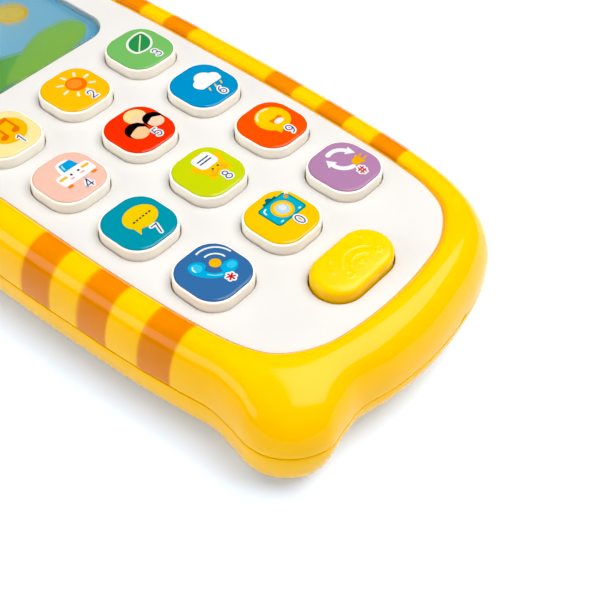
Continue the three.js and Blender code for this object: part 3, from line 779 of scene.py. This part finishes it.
def arc(cx, cy, r, a0, a1, n=20):
    a = np.radians(np.linspace(a0, a1, n))
    return np.column_stack([cx + r * np.cos(a), cy + r * np.sin(a)])


def curve(pts, closed=False, steps=6):
    return spline(pts, closed, steps)


def dense(pts, step=0.25):
    p, out = np.asarray(pts, float), []
    for a, b in zip(p[:-1], p[1:]):
        k = max(1, math.ceil(float(np.hypot(*(b - a))) / step))
        out += [a + (b - a) * i / k for i in range(k)]
    return np.array(out + [p[-1]])


DIGIT = {
    "0": [(oval(0, 0, 0.78, 1.3, 0, 32), True)],
    "1": [(np.array([(-0.5, 0.85), (0.1, 1.3), (0.1, 0), (0.1, -1.3)]), False)],
    "2": [(curve([(-0.72, 0.62), (-0.5, 1.15), (0.05, 1.32), (0.62, 1.05), (0.7, 0.5), (0.3, -0.2), (-0.75, -1.28)]), False), (np.array([(-0.75, -1.3), (0.8, -1.3)]), False)],
    "3": [(curve([(-0.65, 0.95), (-0.1, 1.3), (0.52, 1.1), (0.6, 0.6), (0.3, 0.15), (-0.15, 0.06)]), False),
          (curve([(-0.15, 0.06), (0.45, -0.05), (0.75, -0.55), (0.5, -1.15), (-0.1, -1.3), (-0.75, -0.95)]), False)],
    "4": [(np.array([(0.35, 1.3), (-0.85, -0.6), (0.85, -0.6)]), False), (np.array([(0.35, 1.3), (0.35, -1.3)]), False)],
    "5": [(np.array([(0.65, 1.3), (-0.5, 1.3), (-0.6, 0.22)]), False),
          (curve([(-0.6, 0.22), (-0.1, 0.42), (0.5, 0.2), (0.78, -0.4), (0.5, -1.05), (-0.05, -1.3), (-0.72, -1.0)]), False)],
    "6": [(oval(0, -0.5, 0.76, 0.8, 0, 28), True), (curve([(-0.74, -0.4), (-0.6, 0.4), (-0.2, 1.0), (0.45, 1.32)]), False)],
    "7": [(np.array([(-0.75, 1.3), (0.72, 1.3), (-0.2, -1.3)]), False)],
    "8": [(oval(0, 0.66, 0.62, 0.64, 0, 26), True), (oval(0, -0.64, 0.78, 0.68, 0, 28), True)],
    "9": [(oval(0, 0.5, 0.76, 0.8, 0, 28), True), (curve([(0.74, 0.4), (0.6, -0.4), (0.2, -1.0), (-0.45, -1.32)]), False)],
}
YEL, AMB, ORG = (246, 208, 6), (252, 186, 0), (255, 128, 16)


def art_7(a):
    a.area(YEL, np.vstack([arc2 for arc2 in [bubble(1.1, 0.75, 3.95, 3.15, (-2.25, -3.1), 212, 236)]]))
    for i in range(6):
        a.oval((62, 60, 56), -0.95 + i * 0.87, 0.36 + 0.03 * i, 0.28, 0.24, 0, 12)
        a.level -= 1
    a.level += 1
    a.text(DIGIT["7"], 1.15, -4.1)


def bubble(cx, cy, rx, ry, tip, a0, a1):
    """Speech bubble: an oval whose outline runs out to a tip between two angles."""
    o = [np.array([cx + rx * math.cos(math.radians(t)), cy + ry * math.sin(math.radians(t))]) for t in np.linspace(a1 - 360, a0, 44)]
    return np.array(o + [np.array(tip)])


def star(cx, cy, r, inner=0.62, tilt=90, n=5, steps=5):
    pts = []
    for k in range(2 * n):
        q = math.radians(tilt + 180 * k / n)
        s = r if k % 2 == 0 else r * inner
        pts.append((cx + s * math.cos(q), cy + s * math.sin(q)))
    return curve(pts, True, steps)


def art_8(a):
    a.area((253, 202, 14), star(1.5, 0.8, 4.6, 0.7))
    a.area((240, 190, 10), curve([(-0.9, -1.2), (0.6, -1.7), (1.5, -1.0), (2.6, -1.6), (4.0, -1.3), (3.2, -2.3), (1.5, -1.7), (-0.2, -2.5)], True, 4))
    a.area((252, 252, 250), rrect(2.55, 2.15, 1.3, 1.6, 2.55, 6))
    for y in (3.1, 2.2):
        a.line((52, 78, 120), dense([(0.05, y), (3.15, y + 0.04)]), 0.36)
    for x in (0.9, 2.4):
        a.oval((96, 84, 30), x, -0.45, 0.26, 0.26, 0, 14)
    for x in (0.35, 2.95):
        a.oval((250, 160, 90), x, -1.0, 0.42, 0.26, 0, 14)
    a.text(DIGIT["8"], 1.65, -3.75)


def art_9(a):
    a.area((255, 200, 0), bubble(1.3, 0.95, 4.0, 3.95, (-0.9, -3.6), 232, 256))
    a.oval((255, 208, 20), 1.3, 1.5, 3.2, 3.0)
    a.line((255, 240, 190), arc(1.3, 1.1, 3.3, 105, 150, 10), 0.5)
    a.line((255, 240, 190), arc(1.3, 1.1, 3.3, 60, 92, 8), 0.5)
    a.area((244, 130, 8), curve([(0.1, 0.95), (1.6, 0.7), (3.1, 0.95), (3.0, -0.5), (1.6, -1.3), (0.3, -0.6)], True, 5))
    a.oval((252, 244, 236), 1.65, -0.55, 1.25, 0.75)
    a.text(DIGIT["9"], 1.35, -4.1)


def art_star(a):
    cy = (12, 176, 226)
    a.area(cy, curve([(-3.1, 3.7), (-2.2, 4.4), (-0.9, 4.1), (0.0, 3.0), (-0.1, 1.9), (-1.1, 1.2), (-0.9, 0.2), (0.0, -1.0), (1.0, -1.4),
                      (1.6, -0.3), (2.9, -0.1), (4.6, -0.5), (5.0, -1.6), (4.0, -2.7), (2.2, -3.0), (0.2, -2.6), (-1.6, -1.3), (-2.8, 0.4), (-3.4, 2.2)], True, 5))
    a.oval((60, 200, 238), -1.8, 2.7, 1.1, 1.2)
    a.oval((60, 200, 238), 3.5, -1.5, 1.1, 0.9)
    a.line((225, 246, 252), curve([(-2.6, 2.2), (-2.5, 3.0), (-2.1, 3.5)]), 0.3)
    a.line((120, 214, 240), curve([(-1.5, 0.0), (-0.7, -1.2), (0.4, -2.0)]), 0.35)
    a.oval(AMB, 1.65, 1.05, 1.2, 1.2)
    a.line(WHITE_INK, arc(1.6, 1.0, 2.6, 0, 92, 18), 0.4)
    a.line(WHITE_INK, arc(1.6, 1.0, 4.4, 2, 98, 26), 0.42)
    st = [(dense([(math.cos(t) * 0.92, math.sin(t) * 0.92), (-math.cos(t) * 0.92, -math.sin(t) * 0.92)]), False) for t in (math.pi / 2, math.pi / 6, -math.pi / 6)]
    a.text(st, 1.1, -3.6, (214, 44, 50), 0.38, 0.34)


def art_0(a):
    a.area((20, 110, 130), curve([(-0.6, 4.1), (-0.2, 4.9), (0.5, 4.8), (1.1, 5.5), (1.9, 5.4), (2.4, 4.8), (3.1, 4.9), (3.5, 4.2), (1.5, 3.7)], True, 4))
    a.area((0, 146, 128), rrect(4.25, 3.15, 0.9, 1.5, 1.2, 5))
    a.area((16, 178, 208), rrect(3.9, 2.8, 0.7, 1.5, 1.2, 5))
    a.line((225, 248, 246), curve([(-1.9, 2.4), (-1.7, 3.2), (-0.9, 3.5)]), 0.34)
    a.oval((255, 190, 10), 1.5, 1.1, 2.45, 2.45)
    a.oval((255, 216, 60), 1.5, 1.1, 2.0, 2.0)
    a.oval((190, 220, 246), 1.5, 1.1, 1.45, 1.45)
    a.oval((226, 238, 250), 1.7, 1.3, 0.8, 0.8)
    for x in (-1.2, 4.1):
        a.oval((210, 240, 244), x, -1.2, 0.42, 0.22, 0, 12)
    a.oval((244, 150, 30), 4.7, 3.0, 0.55, 0.5, 20, 14)
    a.area((250, 246, 190), star(5.7, 3.9, 0.95, 0.5, 80, 6, 3))
    a.oval((255, 255, 235), 5.7, 3.9, 0.35, 0.35, 0, 10)
    a.text(DIGIT["0"], 1.6, -3.4)


def arrow(a, cx, cy, r, a0, a1, w, head):
    """Curved arrow: a stroke and a head at its end."""
    way = 1 if a1 > a0 else -1
    a.line(WHITE_INK, arc(cx, cy, r, a0, a1, 18), w)
    t = math.radians(a1)
    e = np.array([cx + r * math.cos(t), cy + r * math.sin(t)])
    tan = np.array([-math.sin(t), math.cos(t)]) * way
    rad = np.array([math.cos(t), math.sin(t)])
    a.area(WHITE_INK, [e - rad * head, e + tan * head * 1.55, e + rad * head] if way < 0 else [e + rad * head, e + tan * head * 1.55, e - rad * head])


def art_hash(a):
    arrow(a, 0.9, 1.5, 3.1, 108, 22, 1.15, 1.3)
    arrow(a, 1.4, 1.5, 3.1, 262, 176, 1.15, 1.3)
    a.area((246, 178, 20), curve([(1.7, -1.9), (1.6, -0.7), (2.2, -0.1), (3.2, 0.0), (3.9, 0.5), (4.0, -0.6), (4.0, -1.6), (3.8, -2.6), (3.0, -2.1)], True, 4))
    a.line((240, 168, 20), dense([(3.9, -0.4), (5.3, -0.3)]), 0.42)
    a.line((240, 168, 20), dense([(3.9, -1.7), (5.4, -1.6)]), 0.42)
    st = [(dense(q), False) for q in ([(-0.15, 1.05), (-0.45, -1.05)], [(0.6, 1.05), (0.3, -1.05)], [(-0.85, 0.4), (1.0, 0.4)], [(-1.0, -0.4), (0.85, -0.4)])]
    a.text(st, 1.3, -3.6, (208, 44, 56), 0.32, 0.36)


def art_4(a):
    w = (252, 250, 248)
    a.area(w, curve([(-0.8, 1.0), (-0.4, 3.7), (0.0, 4.3), (2.6, 4.3), (3.1, 3.7), (3.5, 1.0)], True, 5))
    a.area(w, rrect(4.35, 1.75, 0.9, 1.35, -0.55, 6))
    a.area((24, 164, 222), [(-0.15, 1.35), (0.2, 3.55), (0.5, 3.75), (3.0, 3.75), (3.3, 3.5), (3.7, 1.35)])
    a.line((190, 232, 250), curve([(0.5, 1.9), (0.65, 2.7), (0.8, 3.2)]), 0.3)
    for x in (-1.6, 4.2):
        a.area((255, 190, 40), rrect(1.0, 0.35, 0.3, x, 0.0, 4))
        a.level -= 1
    a.level += 1
    for x in (0.4, 2.3):
        a.oval((50, 62, 76), x, -0.15, 0.3, 0.3, 0, 14)
        a.level -= 1
    for x in (-0.1, 2.6):
        a.area((250, 160, 170), rrect(0.5, 0.18, 0.15, x, -1.15, 4))
        a.level -= 1
    for x in (-2.0, 4.4):
        a.area((244, 130, 30), rrect(0.65, 0.4, 0.3, x, -2.65, 4))
        a.level -= 1
    a.level += 1
    a.text(DIGIT["4"], 1.2, -4.4)


def person(a, cx, cy, r, skin, hair, fringe):
    a.oval(hair, cx, cy + 0.2 * r, r * 1.04, r * 1.0)
    a.oval(skin, cx, cy - 0.16 * r, r * 0.86, r * 0.82)
    a.area(hair, curve([(cx - 0.95 * r, cy + 0.1 * r), (cx - 0.6 * r, cy + 0.95 * r), (cx + 0.3 * r, cy + 1.1 * r), (cx + 0.95 * r, cy + 0.45 * r),
                        (cx + 0.86 * r, cy + 0.05 * r), (cx + fringe * r, cy + 0.42 * r), (cx - 0.3 * r, cy + 0.3 * r)], True, 4))


def art_5(a):
    person(a, 2.0, 2.9, 2.45, (252, 214, 168), (252, 226, 150), 0.2)
    person(a, -1.0, -0.7, 2.5, (250, 204, 150), (38, 34, 34), 0.4)
    person(a, 4.1, -0.4, 2.25, (252, 216, 184), (34, 32, 34), 0.1)
    a.text(DIGIT["5"], 1.6, -3.7)


def art_1(a):
    a.oval((255, 190, 6), 0.8, 0.2, 4.4, 4.3)
    a.line((240, 120, 14), dense([(-0.3, -1.4), (-0.3, 3.0)]), 0.55)
    a.line((240, 120, 14), dense([(3.0, -0.9), (3.0, 3.5)]), 0.55)
    a.area((240, 120, 14), [(-0.5, 2.3), (3.25, 2.8), (3.25, 3.9), (-0.5, 3.4)])
    a.oval((240, 120, 14), -1.0, -1.4, 1.0, 0.75, 20)
    a.oval((240, 120, 14), 2.3, -0.9, 1.0, 0.75, 20)
    a.text(DIGIT["1"], 1.2, -4.0)


def art_2(a):
    for k in range(8):
        q = math.radians(45 * k + 10)
        a.line((255, 246, 214), dense([(1.2 + 3.0 * math.cos(q), 0.9 + 3.0 * math.sin(q)), (1.2 + 4.1 * math.cos(q), 0.9 + 4.1 * math.sin(q))]), 0.6)
        a.level -= 1
    a.level += 1
    a.oval((255, 120, 30), 1.2, 0.9, 2.4, 2.4)
    a.oval((255, 150, 50), 1.0, 1.2, 1.7, 1.6)
    a.text(DIGIT["2"], 1.3, -4.1)


def art_3(a):
    a.area((250, 250, 240), curve([(-2.2, -1.2), (-2.4, 1.6), (-0.2, 3.9), (4.4, 4.2), (4.3, 0.6), (1.6, -1.9)], True, 6))
    a.area((54, 150, 84), curve([(-1.7, -0.8), (-1.8, 1.5), (0.0, 3.4), (3.9, 3.7), (3.7, 0.6), (1.4, -1.4)], True, 6))
    a.line((220, 244, 190), curve([(-1.4, -1.2), (0.6, 0.7), (3.2, 3.1)]), 0.34)
    a.text(DIGIT["3"], 1.3, -4.1)


def art_6(a):
    a.oval((250, 252, 254), -0.4, 0.4, 1.9, 1.7)
    a.oval((250, 252, 254), 1.4, 1.5, 2.2, 2.1)
    a.oval((250, 252, 254), 3.2, 0.4, 1.8, 1.6)
    a.area((250, 252, 254), rrect(3.4, 1.0, 0.95, 1.4, -0.3, 5))
    for x in (-0.4, 1.4, 3.2):
        a.line((255, 206, 40), dense([(x + 0.2, -1.9), (x - 0.2, -2.6)]), 0.4)
    a.text(DIGIT["6"], 1.3, -4.3)


ART = {"1": art_1, "2": art_2, "3": art_3, "4": art_4, "5": art_5, "6": art_6, "7": art_7, "8": art_8, "9": art_9,
       "0": art_0, "star": art_star, "hash": art_hash}
for ident, x, y in BUTTONS:
    body = "button_" + ident
    o = key_cap("key_cap_" + ident, x, y)
    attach(o, body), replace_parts(o, "key_" + ident), o
    o = inlay("inlay_" + ident, x, y, plastic("inlay_colour_" + ident, INLAY[ident], 0.16, 0.02, wave=0.06))
    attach(o, body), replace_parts(o, "label_" + ident), o
    art = Art()
    ART[ident](art)
    o = make("print_" + ident, [(p[0] + x, p[1] + y, p[2]) for p in art.v], art.f, art.mats, art.m, angle=60)
    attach(o, body), o


# ------------------------------------------------------------------ wide button
def bell(v, w):
    return np.exp(-(np.asarray(v) / w) ** 2)


def emboss(x, y):
    """Shallow raised figure: two arcs over a small wedge, rings and dots."""
    dx, dy = x - 0.6, y + 3.0
    r, t = np.hypot(dx, dy), np.degrees(np.arctan2(dy, dx))
    gate = smooth(t, 28, 40) * (1 - smooth(t, 140, 152))
    h = bell(r - 4.9, 0.26) * gate + bell(r - 3.0, 0.24) * gate
    h = h + smooth(1.9 - r, 0, 0.35) * smooth(t, 52, 60) * (1 - smooth(t, 120, 128)) * 0.8
    for cx, cy in ((-3.8, -2.3), (5.4, -2.2)):
        h = h + bell(np.hypot(x - cx, y - cy) - 0.7, 0.2)
    for cx, cy in ((-5.6, 0.5), (5.7, 2.6), (-3.6, 2.6)):
        h = h + bell(np.hypot(x - cx, y - cy), 0.5)
    return 0.15 * np.clip(h, 0, 1)


prof = [(0, 18.4), (0, 18.7), (1.3, 18.7), (1.3, 19.9), (0, 19.9), (0, 20.6), (0, 22.0), (0, 23.4)]
EDGE = 1.7
for u in (90, 80, 70, 60, 50, 40, 30, 20, 10, 0):
    a = math.radians(u)
    prof.append((-EDGE * (1 - math.sin(a)), 23.6 + 1.3 * math.cos(a)))


def puff(x, y):
    return 0.22 * (1 - np.clip(abs(x) / 8.2, 0, 1) ** 2.4) * (1 - np.clip(abs(y) / 3.9, 0, 1) ** 2.2)


rs = [lift(stadium(CALL_HX + d, CALL_HY + d, 0, 0, 26), z) for d, z in prof]
rs = [np.vstack([np.vstack([p[i][None], [p[i] + (p[(i + 1) % len(p)] - p[i]) * k / 60 for k in range(1, 60)]])
                 if np.hypot(*(p[(i + 1) % len(p)] - p[i])[:2]) > 3 else p[i][None] for i in range(len(p))]) for p in rs]
verts = [v for r in rs for v in r]
m = len(rs[0])
faces = quads(m, len(rs)) + cap(rs[0], 0, False)
fv, ff = fill([rs[-1][:, :2]], 0.17)
last = {(round(float(p[0]), 3), round(float(p[1]), 3)): m * (len(rs) - 1) + i for i, p in enumerate(rs[-1])}
ids = []
for p in fv:
    k = (round(float(p[0]), 3), round(float(p[1]), 3))
    if k in last:
        ids.append(last[k])
    else:
        ids.append(len(verts))
        verts.append((p[0], p[1], 24.9 + float(puff(p[0], p[1])) + float(emboss(p[0], p[1])) * float(smooth(3.85 - abs(p[1]), 0, 0.4))))
faces += [tuple(ids[i] for i in t) for t in ff]
call = make("call_cap", [(p[0], p[1] + CALL_Y, p[2]) for p in verts], faces, M["call"])
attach(call, "button_call"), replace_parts(call, "call_button"), call


# ------------------------------------------------------------------ display
prof = [(0, 20.5), (0, 21.5)] + [(-0.4 * (1 - math.cos(math.radians(u))), 21.5 + 0.4 * math.sin(math.radians(u))) for u in (22, 45, 67, 90)] + [(-0.5, 21.9)]
lens = make("display_lens", *stack([lift(rrect(LENS_HX + d, LENS_HY + d, LENS_R + d, 0, LENS_Y, 12), z) for d, z in prof]), M["lens"])
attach(lens, "case"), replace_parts(lens, "screen_lens"), lens


class Sheet(Art):
    def put(self, v2, faces, rgb):
        base, s = len(self.v), self.slot(rgb)
        self.v += [(p[0], p[1] + LENS_Y, 19.92 + 0.02 * self.level) for p in v2]
        for t in faces:
            self.f.append(tuple(base + i for i in t))
            self.m.append(s)
        self.level += 1


art = Sheet()
art.area((120, 200, 238), rrect(23.2, 16.2, 5.8, 0, 0, 8))
art.area((150, 214, 242), rrect(21.6, 14.6, 4.8, 0, 0, 8))
art.oval((255, 206, 40), 12.5, 6.2, 4.2, 4.2)
art.oval((255, 222, 96), 12.5, 6.2, 3.2, 3.2)
for cx, cy, k in ((-9, 5.5, 1.0), (3.5, 9.0, 0.6)):
    for dx, dy, r in ((-3, 0, 2.2), (0, 1.2, 3.0), (3.2, 0, 2.4)):
        art.oval((250, 252, 254), cx + dx * k, cy + dy * k, r * k, r * k * 0.85)
    art.area((250, 252, 254), rrect(5.2 * k, 1.4 * k, 1.3 * k, cx, cy - 1.2 * k, 5))
art.area((120, 196, 84), curve([(-21.2, -10.5), (-20.5, -5), (-12, -2.2), (-3, -5), (4, -7.5), (8, -12), (0, -14.2), (-16, -14.2)], True, 6))
art.area((156, 214, 90), curve([(-6, -14.2), (2, -8.5), (12, -4.6), (20.6, -6.4), (21.2, -10.5), (16, -14.3)], True, 6))
o = make("display_print", art.v, art.f, art.mats, art.m, angle=60)
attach(o, "case"), o

# ------------------------------------------------------------------ base: door, screws, switch knob
verts, faces = [], []
door_c = lambda d: rrect(13.2 + d, 30.2 + d, 1.2 + max(d, -0.9), 0, 36, 8)
door = make("battery_cover", *prism(door_c, [(-0.35, 0.3), (-0.1, 0.4), (0, 0.65), (0, 1.6)]), M["base"])
boolean(door, *cyl(4.6, 1.0, 4.5, 0, DOOR_SCREW_Y, 40), "UNION")
boolean(door, *prism(lambda d: circle(2.9 + d, 0, DOOR_SCREW_Y, 40), [(0.7, -0.1), (0, 0.6), (0, 2.6)]), "DIFFERENCE")
boolean(door, *cyl(1.7, 2, 5, 0, DOOR_SCREW_Y, 24), "DIFFERENCE")
for k in range(6):
    y = 50.5 + 2.2 * k
    boolean(door, *prism(lambda d: stadium(7.5 + d, 0.45 + d, 0, y, 8), [(0.3, 0.0), (0.3, 0.3), (0, 0.62)]), "DIFFERENCE")
finish_shading(door.data, 32)
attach(door, "door"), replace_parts(door, "battery_door"), door


def screw(name, x, y, z0, head, tip, body, node):
    """Cross-recess pan-head screw, head down, with a threaded shank."""
    prof = [(head * 0.55, z0), (head * 0.85, z0 + 0.12), (head, z0 + 0.55), (head, z0 + 1.7), (1.35, z0 + 1.8)]
    z = z0 + 2.0
    while z < tip - 1.4:
        prof += [(1.05, z), (1.3, z + 0.28), (1.05, z + 0.56)]
        z += 0.75
    prof += [(1.0, tip - 0.9), (0.15, tip)]
    o = make(name, *lathe(prof, x, y, 40), M["steel"])
    for w, h in ((0.35, 1.5), (1.5, 0.35)):
        boolean(o, *prism(lambda d: rrect(w + d, h + d, 0.15 + max(d, -0.1), x, y, 3), [(0.1, z0 - 0.5), (0, z0 + 0.1), (-0.12, z0 + 0.9)]), "DIFFERENCE")
    finish_shading(o.data, 32)
    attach(o, body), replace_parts(o, node), o


for i, (x, y) in enumerate(BOSS_XY):
    lo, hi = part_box("case_screw_%d" % (i + 1))
    screw("shell_screw_%d" % (i + 1), (lo.x + hi.x) / 2 / MM, (lo.y + hi.y) / 2 / MM, 2.7, 2.7, 17.5, "case", "case_screw_%d" % (i + 1))
screw("cover_screw", 0, DOOR_SCREW_Y, 0.5, 2.5, 10.5, "door_screw", "battery_door_screw")

knob = make("slide_knob", *prism(lambda d: rrect(3.2 + d, 2.6 + d, 0.6 + max(d, -0.4), 0, SWITCH_Y, 5), [(-0.3, 0.4), (0, 0.7), (0, 2.0)]), M["black"])
boolean(knob, *block(-1.2, 1.2, SWITCH_Y - 1.1, SWITCH_Y + 1.1, 1.9, 6.6, 0.2), "UNION")
for k in (-2, -1, 0, 1, 2):
    boolean(knob, *prism(lambda d: rrect(0.28 + d, 1.9 + d, 0.2 + d, k * 1.05, SWITCH_Y, 4), [(0.15, 0.0), (0.15, 0.4), (0, 0.85)]), "DIFFERENCE")
finish_shading(knob.data, 32)
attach(knob, "power_switch"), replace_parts(knob, "switch_knob"), knob


def cell(name, x, up, node):
    """AAA cell: printed sleeve between plated ends, nub at the positive end."""
    y0, y1 = 18.3, 61.9
    prof = [(0.2, 0, 1), (4.6, 0, 1), (4.95, 0.1, 1), (4.95, 0.35, 1), (5.1, 0.45, 0), (5.2, 0.75, 0), (5.2, 12, 0), (5.2, 12.02, 2), (5.2, y1 - y0 - 0.8, 2), (5.05, y1 - y0 - 0.3, 2),
            (4.2, y1 - y0 - 0.15, 2), (4.1, y1 - y0 - 0.15, 1), (2.1, y1 - y0 - 0.1, 1), (1.85, y1 - y0 + 0.1, 1), (1.8, y1 - y0 + 0.65, 1), (1.6, y1 - y0 + 0.8, 1), (0.2, y1 - y0 + 0.8, 1)]
    n, verts = 56, []
    for r, h, _ in prof:
        yy = y0 + h if up else y1 - h
        for k in range(n):
            q = 2 * math.pi * k / n * (-1 if up else 1)
            verts.append((x + r * math.cos(q), yy, 7.15 + r * math.sin(q)))
    faces = quads(n, len(prof)) + [tuple(range(n))[::-1], tuple(range(n * (len(prof) - 1), n * len(prof)))]
    idx = [prof[k + 1][2] for k in range(len(prof) - 1) for _ in range(n)] + [1, 1]
    o = make(name, verts, faces, [M["cell"], M["steel"], plastic("cell_wrap_silver_" + name, (206, 210, 214), 0.22, 0.03, wave=0.05)], idx)
    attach(o, "case"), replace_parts(o, node), o


cell("cell_left", -5.6, False, "battery_left")
cell("cell_right", 5.6, True, "battery_right")

# ------------------------------------------------------------------ kept nodes
KEEP = {
    "screen_card": "card", "keypad_membrane": "silicone", "main_board": "board", "led_board": "board", "controller_blob": "black",
    "led_left": "led", "led_right": "led", "link_wire_red": "red", "link_wire_black": "wblack", "speaker_wire_red": "red",
    "speaker_wire_black": "wblack", "speaker_frame": "black", "speaker_magnet": "steel", "speaker_cone": "cone",
    "switch_body": "steel", "contact_positive": "steel", "contact_negative": "steel", "contact_bridge": "steel",
}
for node, key in KEEP.items():
    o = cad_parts[node]
    if not o.material_slots:
        o.data.materials.append(M[key])
    for s in o.material_slots:
        s.material = M[key]

# ------------------------------------------------------------------ floor, light, camera
me = bpy.data.meshes.new("floor")
S = 8.0
me.from_pydata([(-S, -S, -0.00005), (S, -S, -0.00005), (S, S, -0.00005), (-S, S, -0.00005)], [], [(0, 1, 2, 3)])
floor = bpy.data.objects.new("floor", me)
scene.collection.objects.link(floor)
m, nt, b = nodes_of("floor_white_painted_glow")
c = add(nt, "ShaderNodeTexCoord").outputs["Object"]
nt.links.new(mix(nt, remap(nt, noise(nt, c, 6, 2), 0, 1), (0.76, 0.86, 0.98), (0.77, 0.87, 0.99)), b.inputs["Base Color"])
b.inputs["Roughness"].default_value = 0.9
# painted light: the floor itself glows, faint and cool beside the toy and brighter and white further out, standing in
# for a lit white sweep
away = add(nt, "ShaderNodeVectorMath", operation="LENGTH")
nt.links.new(c, away.inputs[0])
nt.links.new(mix(nt, remap(nt, away.outputs["Value"], 0, 1, 0.35, 1.1), (0.085, 0.134, 0.219), (0.86, 0.87, 0.89)), b.inputs["Emission Color"])
b.inputs["Emission Strength"].default_value = 1.0
b.inputs["Specular IOR Level"].default_value = 0.1
me.materials.append(m)

world = bpy.data.worlds.new("studio")
scene.world = world
world.use_nodes = True
bg = world.node_tree.nodes["Background"]
bg.inputs["Color"].default_value = (0.97, 0.98, 1.0, 1)
bg.inputs["Strength"].default_value = 0.06


def softbox(name, at, toward, sx, sy, power, color=(1, 1, 1), gloss=True):
    d = bpy.data.lights.new(name, "AREA")
    d.shape, d.size, d.size_y, d.energy, d.color = "RECTANGLE", sx, sy, power, color
    o = bpy.data.objects.new(name, d)
    o.location = at
    o.rotation_euler = (Vector(toward) - Vector(at)).to_track_quat("-Z", "Y").to_euler()
    o.visible_glossy = gloss
    scene.collection.objects.link(o)


softbox("key_overhead", (0.32, -0.30, 0.85), (0.0, -0.04, 0.0), 0.95, 0.8, 12)
softbox("left_panel", (-0.82, 0.38, 0.37), (0.0, -0.03, 0.0), 0.7, 0.4, 3.4)
softbox("top_fill", (-0.1, 0.6, 1.1), (0.0, 0.0, 0.0), 0.9, 0.8, 5.5, gloss=False)
softbox("front_fill", (-0.55, -0.65, 0.75), (0.0, 0.0, 0.0), 1.1, 0.9, 2.0, gloss=False)

az, el, roll = math.radians(51.56), math.radians(48.34), math.radians(2.25)
back = Vector((-math.sin(az) * math.cos(el), -math.cos(az) * math.cos(el), math.sin(el)))
right = (-back).cross(Vector((0, 0, 1))).normalized()
down = (-back).cross(right)
r2 = math.cos(roll) * right - math.sin(roll) * down
d2 = math.sin(roll) * right + math.cos(roll) * down
cam_data = bpy.data.cameras.new("camera")
cam_data.lens, cam_data.sensor_width, cam_data.sensor_fit = 71.58, 36.0, "HORIZONTAL"
cam_data.clip_start, cam_data.clip_end = 0.01, 20
cam = bpy.data.objects.new("camera", cam_data)
rot = Matrix((r2, -d2, back)).transposed()
cam.matrix_world = Matrix.Translation(Vector((-0.130702, -0.154193, 0.191067))) @ rot.to_4x4()
scene.collection.objects.link(cam)
scene.camera = cam
bpy.context.scene.camera = cam
scene.view_settings.view_transform = "Standard"
scene.view_settings.use_curve_mapping = True
scene.view_settings.curve_mapping.black_level = (0.018, 0.018, 0.018)
scene.view_settings.curve_mapping.update()

bpy.context.view_layer.update()
